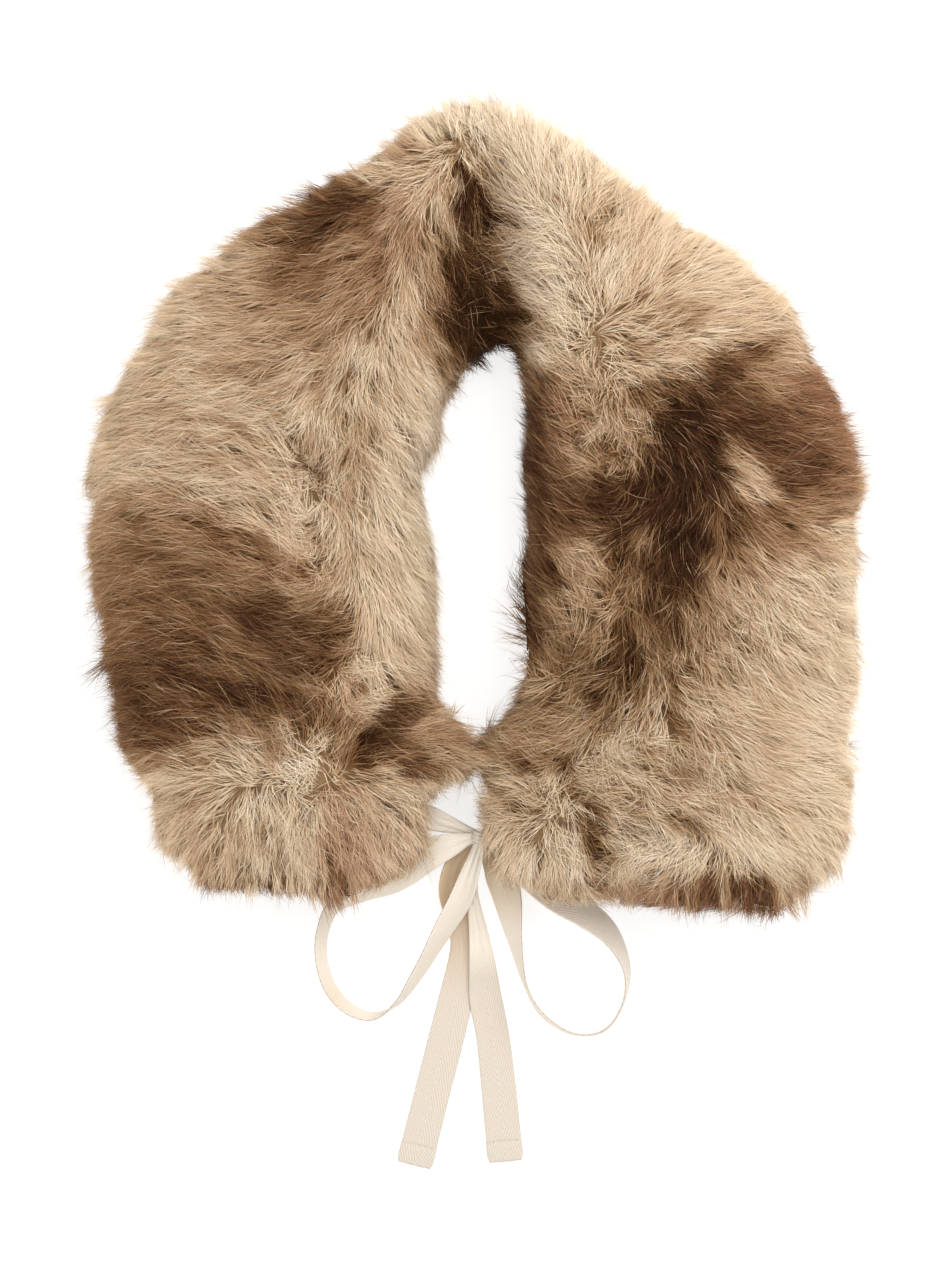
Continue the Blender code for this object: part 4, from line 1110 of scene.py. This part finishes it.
def lay_under_locks(skin, kept, count, dice):
    """Locks that leave the edge of the under collar sideways and come down to the table."""
    place, out = scatter(skin, kept, count, dice)
    level = unit(out * (1.0, 1.0, 0.0))
    along = np.stack([-level[:, 1], level[:, 0], np.zeros(count)], axis=1)
    slant = UNDER_SLANT * ripple(place[:, 0], place[:, 1], 40.0, 20)
    slant = slant + UNDER_STRAY * dice.standard_normal(count)
    way = unit(level + along * slant[:, None] + out * UNDER_LIFT)
    paths = [place]
    outward = [out]
    for step in range(LOCK_STEPS):
        way = unit(way + np.array((0.0, 0.0, -UNDER_DROP)))
        place = place + way * LOCK_STEP * UNDER_STEP
        place[:, 2] = np.maximum(place[:, 2], HAIR_FLOOR)
        paths.append(place)
        outward.append(unit(out + np.array((0.0, 0.0, 0.5))))
    paths = np.stack(paths, axis=1)
    rise = LOCK_RISE * dice.standard_normal(count)
    reach = 1.0 + TUFT_REACH * ripple(place[:, 0], place[:, 1], 10.0, 34)
    deep = np.full(count, UNDER_DEEP)
    gather = np.full(count, GATHER_EDGE)
    return Locks(paths, np.stack(outward, axis=1), deep, rise, reach, np.arange(count), gather)


for side, node in UNDER_HALVES.items():
    dice = np.random.default_rng(UNDER_SEEDS[side])
    backing = cut_backing(f"backing_under_{side}", node, fur_finish)
    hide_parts(node)
    skin = skin_of(node)
    ways = unit(face_ways(skin.points, skin.corners))
    edge = (np.abs(ways[:, 2]) < 0.9) & grows_hair(skin)
    locks = lay_under_locks(skin, edge, UNDER_LOCKS, dice)
    places, outward = scatter(skin, edge, UNDER_HAIRS, dice)
    fringe = grow_hair(f"under_fringe_{side}", locks, places, UNDER_HAIR, dice, under_colour, 0.0)
    for piece in (backing, fringe):
        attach(piece, "root")


# ---- Tie tapes: two bands, two loops and two tails of cotton twill tape --------------------------
# Two 16 mm herringbone tapes are stitched under the front ends and tied in a bow.  The loops stand
# on edge, and the tails run flat to a folded and stitched hem.
# Each row is the middle of the tape at a place, how wide it is there, and how many degrees it is
# turned about its own length: 0 for flat and 90 for on edge.
TapeRow = namedtuple("TapeRow", "x y z width roll")
TIE_LEFT_BAND = [TapeRow(*row) for row in (
    (-27.2, -82.6, 17.5, 11.5, 0.0), (-21.5, -84.2, 16.8, 11.5, -8.0), (-15.0, -86.5, 15.4, 9.5, -16.0),
    (-8.8, -88.5, 14.2, 6.5, -12.0), (-3.9, -90.4, 13.8, 5.0, 0.0), (0.2, -92.2, 13.8, 4.5, 0.0),
)]
TIE_RIGHT_BAND = [TapeRow(*row) for row in (
    (16.5, -93.0, 17.5, 9.0, 0.0), (12.5, -92.6, 17.5, 9.0, 0.0), (8.8, -92.1, 16.6, 8.0, 0.0),
    (5.2, -91.8, 15.4, 6.0, 0.0), (2.4, -92.2, 14.4, 4.5, 0.0),
)]
BOW_LOOP_LEFT = [TapeRow(*row) for row in (
    (0.4, -93.0, 15.8, 4.5, 0.0), (-4.6, -94.0, 16.0, 6.5, 4.0), (-12.0, -96.6, 15.6, 11.0, 8.0),
    (-23.5, -101.4, 13.8, 15.5, 12.0), (-37.5, -112.0, 11.2, 16.0, 36.0),
    (-52.4, -119.0, 9.4, 16.0, 62.0), (-65.4, -125.0, 8.8, 16.0, 68.0),
    (-70.2, -134.5, 8.6, 16.0, 71.0), (-71.5, -147.0, 8.6, 16.0, 73.0),
    (-67.8, -161.2, 8.6, 16.0, 73.0), (-59.2, -171.4, 8.6, 16.0, 75.0),
    (-47.4, -175.4, 8.8, 16.0, 83.0), (-36.0, -169.0, 8.9, 16.0, 99.0),
    (-27.2, -156.5, 9.3, 16.0, 110.0), (-21.0, -146.0, 10.2, 16.0, 115.0),
    (-15.0, -135.3, 12.0, 16.0, 124.0), (-7.4, -121.6, 15.0, 15.0, 135.0),
    (-3.1, -109.0, 17.0, 10.0, 150.0), (-0.4, -101.0, 17.8, 6.5, 165.0), (1.2, -95.0, 17.4, 4.5, 180.0),
)]
BOW_LOOP_RIGHT = [TapeRow(*row) for row in (
    (2.6, -94.4, 11.0, 4.0, 0.0), (4.6, -98.4, 9.0, 6.0, 0.0), (7.4, -103.4, 7.6, 10.5, -4.0),
    (11.0, -110.0, 6.4, 15.0, -14.0), (14.6, -123.0, 6.6, 16.0, -38.0),
    (17.6, -140.0, 8.4, 16.0, -66.0), (22.4, -160.6, 8.8, 16.0, -85.0),
    (30.6, -174.8, 8.8, 16.0, -82.0), (44.5, -183.2, 8.8, 16.0, -84.0),
    (58.5, -181.6, 8.8, 16.0, -84.0), (67.0, -169.5, 8.8, 16.0, -86.0),
    (68.8, -154.0, 8.8, 16.0, -78.0), (62.0, -139.0, 9.0, 16.0, -58.0),
    (50.6, -128.6, 8.6, 16.0, -36.0), (37.0, -119.5, 9.4, 16.0, -14.0), (24.0, -110.0, 11.4, 13.0, 0.0),
    (13.0, -99.5, 12.4, 9.0, 0.0), (5.9, -94.6, 12.2, 6.0, 0.0),
)]
TAIL_LEFT = [TapeRow(*row) for row in (
    (0.0, -95.0, 10.5, 4.0, 0.0), (-5.0, -100.0, 8.8, 8.0, 16.0), (-9.6, -107.0, 7.0, 13.0, 34.0),
    (-11.2, -117.0, 5.0, 14.0, 28.0), (-9.4, -128.0, 2.4, 11.5, 10.0), (-7.6, -138.0, 0.8, 9.6, 0.0),
    (-7.0, -147.0, 0.7, 11.0, 0.0), (-8.8, -163.6, 0.7, 15.0, 0.0), (-13.4, -183.7, 0.7, 16.2, 0.0),
    (-20.9, -213.0, 0.7, 16.2, 0.0), (-28.5, -243.6, 0.7, 16.4, 0.0),
)]
TAIL_RIGHT = [TapeRow(*row) for row in (
    (1.4, -95.4, 13.0, 4.0, 0.0), (-0.6, -106.5, 11.2, 4.5, -4.0), (-1.7, -114.5, 9.8, 4.5, -4.0),
    (-1.3, -123.0, 7.8, 5.5, 0.0), (1.1, -138.5, 4.8, 9.0, 4.0), (2.6, -151.5, 3.0, 12.0, 4.0),
    (4.2, -168.0, 1.6, 15.0, 2.0), (7.6, -186.0, 0.8, 15.2, 0.0), (10.7, -214.0, 0.7, 16.0, 0.0),
    (13.3, -241.8, 0.7, 16.2, 0.0),
)]
KNOT_WRAP = [TapeRow(*row) for row in (
    (-1.4, -91.6, 10.0, 5.0, 0.0), (-2.0, -91.9, 13.4, 5.0, 0.0), (-1.2, -92.2, 17.0, 5.2, 0.0),
    (1.2, -92.8, 18.6, 5.5, 0.0), (3.6, -93.3, 17.0, 5.2, 0.0), (4.4, -93.6, 13.0, 5.0, 0.0),
    (3.8, -93.6, 9.6, 5.0, 0.0),
)]
TAPE_WIDTH = 16.0
TAPE_STEPS = 10              # from row to row
TAPE_HALF = 0.42             # half of the thickness of the tape
TAPE_LIE = 0.7               # lowest that a row lies,
TAPE_DROP = 0.25             # and how much lower than its row the thin tape is
RIM_ROUND = 0.06             # share of the half width that is rounded off at each edge
SELVEDGE = 0.05              # how far the woven edges stand up,
SELVEDGE_AT = 0.93           # where across the tape,
SELVEDGE_WIDTH = 0.035       # and how wide they are
CUPPING = 0.25
PLEATS = 1.5                 # waves across the tape where it is drawn together,
PLEAT_DEPTH = 0.11           # their depth for each millimetre that it is narrower,
PLEAT_MOST = 0.90            # and at most
HEM_FOLD = 9.0
HEM_GAP = 0.02
HEM_ROUNDING = 0.9           # how much narrower the tape is at its very end
HEM_BEND_STEPS = 8
HEM_STEPS = 10
HEM_DRAWN = 1.9              # how far the stitches draw the fold down, in halves of its thickness
STITCHES = 12
STITCH_LENGTH = 1.25
STITCH_ROW = 0.44            # half the length of their row, as a share of the tape's width
STITCH_ASIDE = 0.35          # how far they stand to either side of it by turns,
STITCH_STRAY = 0.15          # how far they stray,
STITCH_SLANT = 0.5           # and how far they slant by turns
STITCH_HIGH = 0.6            # how high they stand, in widths of the thread
STITCH_SEED = 505
THREAD = 0.42
THREAD_PALE = (0.86, 0.80, 0.70, 1.0)
THREAD_WARM = (0.62, 0.52, 0.38, 1.0)
# Points of a face across the tape, in halves of its width.
ACROSS = (-1.0, -0.975, -0.93, -0.87, -0.70, -0.45, -0.2, 0.0, 0.2, 0.45, 0.70, 0.87, 0.93, 0.975, 1.0)
# The weave is drawn on a chart, and each tape is cut from its own place along it.
CHART_WIDE = 20.0            # millimetres across the chart,
CHART_LONG = 400.0           # and along it
RIB_SLANT = 2.5              # along the tape for each millimetre across it
RIB_PITCH = 3.1              # from rib to rib along the tape
YARN_PITCH = 0.9
YARN_LEAN = (0.8, 2.2)       # how far the yarns run across the tape and along it
YARN_HIGH = 0.2              # how high they stand, in heights of a rib,
EDGE_HIGH = 0.5              # and so for the selvedge
SPINE_RISE = 1.6             # how fast the ribs rise from the middle of the tape,
SPINE_ROUND = 0.4            # and how softly they reach their height
GROOVE_PALE = 0.35           # share of the pale colour against the painted shade at the bottom of a groove, how much more of it the top of a rib has, as a painted highlight,
RIB_PALE = 0.5               # how much more of it the top of a rib has,
YARN_PALE = 0.15             # and that of a yarn
WEAR_SCALE = 60.0
WEAVE_DEEP = 0.0005          # depth of the weave, in metres,
WEAVE_SHOWS = 0.28           # and how much of it shows
EDGE_AT = 7.5                # how far from its middle the selvedge starts
# Along the weave chart: painted warm shade for the top of the left tail, the right loop by the knot and
# the far end of the left loop; painted light for the bands, loops, knot and top of the right tail.
PAINTED_SHADE_TO = 85.0                # the cloth has painted warm shade up to here,
PAINTED_SHADE_TO_FADE = 55.0
PAINTED_LIGHT_FROM = 228.0           # painted light from here on,
PAINTED_LIGHT_FADE = 15.0
PAINTED_SHADE_FROM = 348.0             # and painted warm shade again from here to its end
PAINTED_SHADE_FROM_FADE = 45.0
PAINTED_SHADE_MOST = 0.85
COTTON_PALE = (0.665, 0.605, 0.53, 1.0)
COTTON_WARM = (0.63, 0.565, 0.485, 1.0)
# painted shade at the bottom of the grooves between ribs
COTTON_GROOVE_SHADE = (0.46, 0.395, 0.31, 1.0)
# painted warm shade, for stretches in the shade of the fur and the bow
COTTON_PAINTED_SHADE = (0.56, 0.425, 0.27, 1.0)
# painted light: a brighter copy of the cloth, and below it of the groove shade
COTTON_PAINTED_LIGHT = (0.83, 0.765, 0.67, 1.0)
PAINTED_LIGHT_GROOVE_SHADE = (0.64, 0.565, 0.46, 1.0)


def make_tape_finish():
    """Cream cotton, woven in two columns of slanting ribs that meet along the middle, with painted
    shade in the grooves, painted highlights on the ribs, and painted warm shade and light along it.
    """
    finish, shader, tree = new_finish("cotton_twill", {
        "Roughness": 0.85,
        "Specular IOR Level": 0.2,
        "Sheen Weight": 0.05,
        "Sheen Roughness": 0.6,
        "Subsurface Weight": 0.06,
        "Subsurface Scale": 0.004,
    })
    weave = tree.node("ShaderNodeUVMap", {"uv_map": CHART})
    side = tree.math("ABSOLUTE", (weave.part(0) - 0.5) * CHART_WIDE)
    along = weave.part(1) * CHART_LONG
    rib = (along - side * RIB_SLANT) / RIB_PITCH
    round_rib = tree.math("SINE", rib * math.tau) * 0.5 + 0.5
    passed = along * YARN_LEAN[0] + side * YARN_LEAN[1]
    yarn = tree.math("SINE", passed * math.tau / YARN_PITCH) * 0.5 + 0.5
    spine = tree.math("SMOOTH_MIN", side * SPINE_RISE, 1.0, SPINE_ROUND)
    edge = tree.math("GREATER_THAN", side, EDGE_AT)
    height = round_rib * (1.0 - edge) * spine + yarn * YARN_HIGH + edge * EDGE_HIGH
    # painted light: brighter cloth from here on along the chart
    painted_light = tree.math("MAXIMUM", (along - PAINTED_LIGHT_FROM) / PAINTED_LIGHT_FADE, 0.0)
    painted_light = tree.math("MINIMUM", painted_light, 1.0)
    # painted warm shade near both ends of the chart
    painted_shade = tree.math("MAXIMUM", (PAINTED_SHADE_TO - along) / PAINTED_SHADE_TO_FADE, (along - PAINTED_SHADE_FROM) / PAINTED_SHADE_FROM_FADE)
    painted_shade = tree.math("MAXIMUM", tree.math("MINIMUM", painted_shade, PAINTED_SHADE_MOST), 0.0)
    worn = {"Vector": weave, "Scale": WEAR_SCALE, "Detail": 3.0}
    wear = tree.node("ShaderNodeTexNoise", {}, worn)
    pale = tree.mix(painted_light, tree.mix(wear, COTTON_PALE, COTTON_WARM), COTTON_PAINTED_LIGHT)
    groove = tree.mix(painted_light, COTTON_GROOVE_SHADE, PAINTED_LIGHT_GROOVE_SHADE)
    # painted shade in the grooves, painted highlights on the ribs and yarns
    cloth = tree.mix(round_rib * RIB_PALE + yarn * YARN_PALE + GROOVE_PALE, groove, pale)
    cloth = tree.mix(painted_shade, cloth, COTTON_PAINTED_SHADE)
    raised = {"Strength": WEAVE_SHOWS, "Distance": WEAVE_DEEP, "Height": height}
    bump = tree.node("ShaderNodeBump", {}, raised)
    link_finish(tree, shader, Base_Color=cloth, Normal=bump)
    return finish


def make_thread_finish():
    """Cotton sewing thread, lighter and darker where it is twisted."""
    finish, shader, tree = new_finish("sewing_thread", {
        "Roughness": 0.7,
        "Specular IOR Level": 0.3,
    })
    twist = tree.node("ShaderNodeTexNoise", {}, {"Scale": 900.0, "Detail": 1.0})
    link_finish(tree, shader, Base_Color=tree.mix(twist, THREAD_PALE, THREAD_WARM))
    return finish


def smooth_rows(rows):
    """Rows on one smooth curve through the table's rows."""
    drawn = []
    for i in range(len(rows) - 1):
        four = (rows[max(i - 1, 0)], rows[i], rows[i + 1], rows[min(i + 2, len(rows) - 1)])
        for k in range(TAPE_STEPS):
            f = k / TAPE_STEPS
            weights = (
                -0.5 * f**3 + f**2 - 0.5 * f,
                1.5 * f**3 - 2.5 * f**2 + 1.0,
                -1.5 * f**3 + 2.0 * f**2 + 0.5 * f,
                0.5 * f**3 - 0.5 * f**2,
            )
            columns = zip(*four)
            drawn.append(TapeRow(*(sum(w * v for w, v in zip(weights, column)) for column in columns)))
    drawn.append(rows[-1])
    return drawn


TapePlace = namedtuple("TapePlace", "middle across facing width along")


def lay_tape(table):
    """Where the tape is, and which way it faces, at close steps along it."""
    rows = smooth_rows(table)
    middles = [Vector((row.x, row.y, max(row.z, TAPE_LIE) - TAPE_DROP)) for row in rows]
    places = []
    along = 0.0
    for i, row in enumerate(rows):
        ahead = (middles[min(i + 1, len(rows) - 1)] - middles[max(i - 1, 0)]).normalized()
        flat_across = ahead.cross(Vector((0.0, 0.0, 1.0))).normalized()
        upright = flat_across.cross(ahead)
        roll = math.radians(row.roll)
        across = flat_across * math.cos(roll) + upright * math.sin(roll)
        if i:
            along += (middles[i] - middles[i - 1]).length
        places.append(TapePlace(middles[i], across, across.cross(ahead), row.width, along))
    return places


def fold_hem(places):
    """Carries a tail on round its end and back over itself for the depth of the hem."""
    last = places[-1]._replace(width=places[-1].width - HEM_ROUNDING)
    ahead = last.facing.cross(last.across)
    bend = TAPE_HALF + 0.5 * HEM_GAP
    folded = []
    for k in range(1, HEM_BEND_STEPS + 1):
        turn = math.pi * k / HEM_BEND_STEPS
        middle = last.middle + ahead * (bend * math.sin(turn))
        middle = middle + last.facing * (bend * (1.0 - math.cos(turn)))
        facing = last.facing * math.cos(turn) - ahead * math.sin(turn)
        width = last.width + 0.2 - 0.5 * math.sin(turn)
        folded.append(TapePlace(middle, last.across, facing, width, last.along + bend * turn))
    top = folded[-1]
    for k in range(1, HEM_STEPS + 1):
        back = HEM_FOLD * k / HEM_STEPS
        drawn = HEM_DRAWN * TAPE_HALF * (k / HEM_STEPS) ** 7
        middle = top.middle - ahead * back + top.facing * drawn
        width = top.width + min(1.0, 0.35 * back) - 0.4 * (k // HEM_STEPS)
        folded.append(TapePlace(middle, last.across, top.facing, width, top.along + back))
    return places[:-1] + [last] + folded


def tape_section(width):
    """Points round the tape: across it, how far out on each face, and its place in the weave."""
    drawn = max(0.0, TAPE_WIDTH - width)
    section = []
    for face in (-1.0, 1.0):
        for a in ACROSS if face < 0.0 else reversed(ACROSS):
            pleat = min(PLEAT_DEPTH * drawn, PLEAT_MOST) * math.cos(math.tau * PLEATS * a)
            pleat = pleat * (1.0 - 0.3 * abs(a))
            cup = CUPPING * (a * a - 0.4) * width / TAPE_WIDTH
            beyond = max(0.0, (abs(a) - (1.0 - RIM_ROUND)) / RIM_ROUND)
            rim = math.sqrt(max(0.0, 1.0 - beyond**2))
            bead = SELVEDGE * math.exp(-(((abs(a) - SELVEDGE_AT) / SELVEDGE_WIDTH) ** 2))
            out = face * (TAPE_HALF + bead) * rim + pleat + cup
            section.append((0.5 * a * width, out, a))
    return section


def weave_tape(name, places, finish, start, looped):
    """A closed thin shell along the places, with the weave mapped over it at its real size."""
    whole = places[-1].along
    points = []
    chart_points = []
    for place in places:
        along = min(place.along, whole - place.along) if looped else place.along
        up_chart = abs(start - along) / CHART_LONG
        for across, out, a in tape_section(place.width):
            points.append(tuple((place.middle + place.across * across + place.facing * out) * MM))
            chart_points.append((0.5 + a * 0.5 * TAPE_WIDTH / CHART_WIDE, up_chart))
    ring = 2 * len(ACROSS)
    faces = []
    for i in range(len(places) - 1):
        for k in range(ring):
            n = (k + 1) % ring
            faces.append((i * ring + k, i * ring + n, (i + 1) * ring + n, (i + 1) * ring + k))
    last = (len(places) - 1) * ring
    for k in range(len(ACROSS) - 1):
        faces.append((k, ring - 1 - k, ring - 2 - k, k + 1))
        faces.append((last + k, last + k + 1, last + ring - 2 - k, last + ring - 1 - k))
    tape = make_piece(name, points, faces, finish)
    chart = tape.data.uv_layers.new(name=CHART)
    for loop in tape.data.loops:
        chart.data[loop.index].uv = chart_points[loop.vertex_index]
    return tape


def sew_hem(name, places, finish, dice):
    """The row of small stitches that holds a hem down, each a short raised bit of thread."""
    top = places[-2]
    ahead = top.across.cross(top.facing)
    points = []
    faces = []
    for k in range(STITCHES):
        step = 2.0 * k / (STITCHES - 1) - 1.0
        turn = (-1) ** k
        middle = top.middle - top.facing * TAPE_HALF + top.across * (STITCH_ROW * top.width * step)
        middle = middle + ahead * (STITCH_ASIDE * turn + STITCH_STRAY * dice.standard_normal())
        way = (top.across + ahead * (STITCH_SLANT * turn)).normalized() * (0.5 * STITCH_LENGTH)
        side = way.cross(top.facing).normalized() * (0.5 * THREAD)
        rise = -top.facing * (STITCH_HIGH * THREAD)
        first = len(points)
        for away in (-way, -side, rise, side, -rise, way):
            points.append(tuple((middle + away) * MM))
        for i in range(4):
            n = (i + 1) % 4
            faces.append((first, first + 1 + n, first + 1 + i))
            faces.append((first + 5, first + 1 + i, first + 1 + n))
    return make_piece(name, points, faces, finish)


tape_finish = make_tape_finish()
thread_finish = make_thread_finish()
# start: the place on the chart where the tape starts, below 0 where it runs up the chart; it sets
# which stretches take the painted warm shade and the painted light.
Tape = namedtuple("Tape", "name node rows start rests_on")
TAPES = [
    Tape("tape_band_left", "tie_left_band", TIE_LEFT_BAND, -245.0, "collar_upper_left"),
    Tape("tape_band_right", "tie_right_band", TIE_RIGHT_BAND, -245.0, "collar_upper_right"),
    Tape("tape_loop_left", "bow_loop_left", BOW_LOOP_LEFT, -245.0, "table_top"),
    Tape("tape_loop_right", "bow_loop_right", BOW_LOOP_RIGHT, 396.0, "table_top"),
    Tape("tape_tail_left", "tail_left", TAIL_LEFT, -8.0, "table_top"),
    Tape("tape_tail_right", "tail_right", TAIL_RIGHT, 292.0, "table_top"),
    Tape("tape_knot", "bow_knot", KNOT_WRAP, -245.0, "tape_loop_left"),
]
LOOPED = ("bow_loop_left", "bow_loop_right")
HEMMED = ("tail_left", "tail_right")
for row in TAPES:
    places = lay_tape(row.rows)
    if row.node in HEMMED:
        places = fold_hem(places)
    tape = weave_tape(row.name, places, tape_finish, row.start, row.node in LOOPED)
    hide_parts(row.node)
    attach(tape, "root")
    if row.node in HEMMED:
        dice = np.random.default_rng(STITCH_SEED)
        stitches = sew_hem(f"hem_stitches_{row.node}", places, thread_finish, dice)
        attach(stitches, "root")
    flat = (TAPE_WIDTH * MM, places[-1].along * MM)
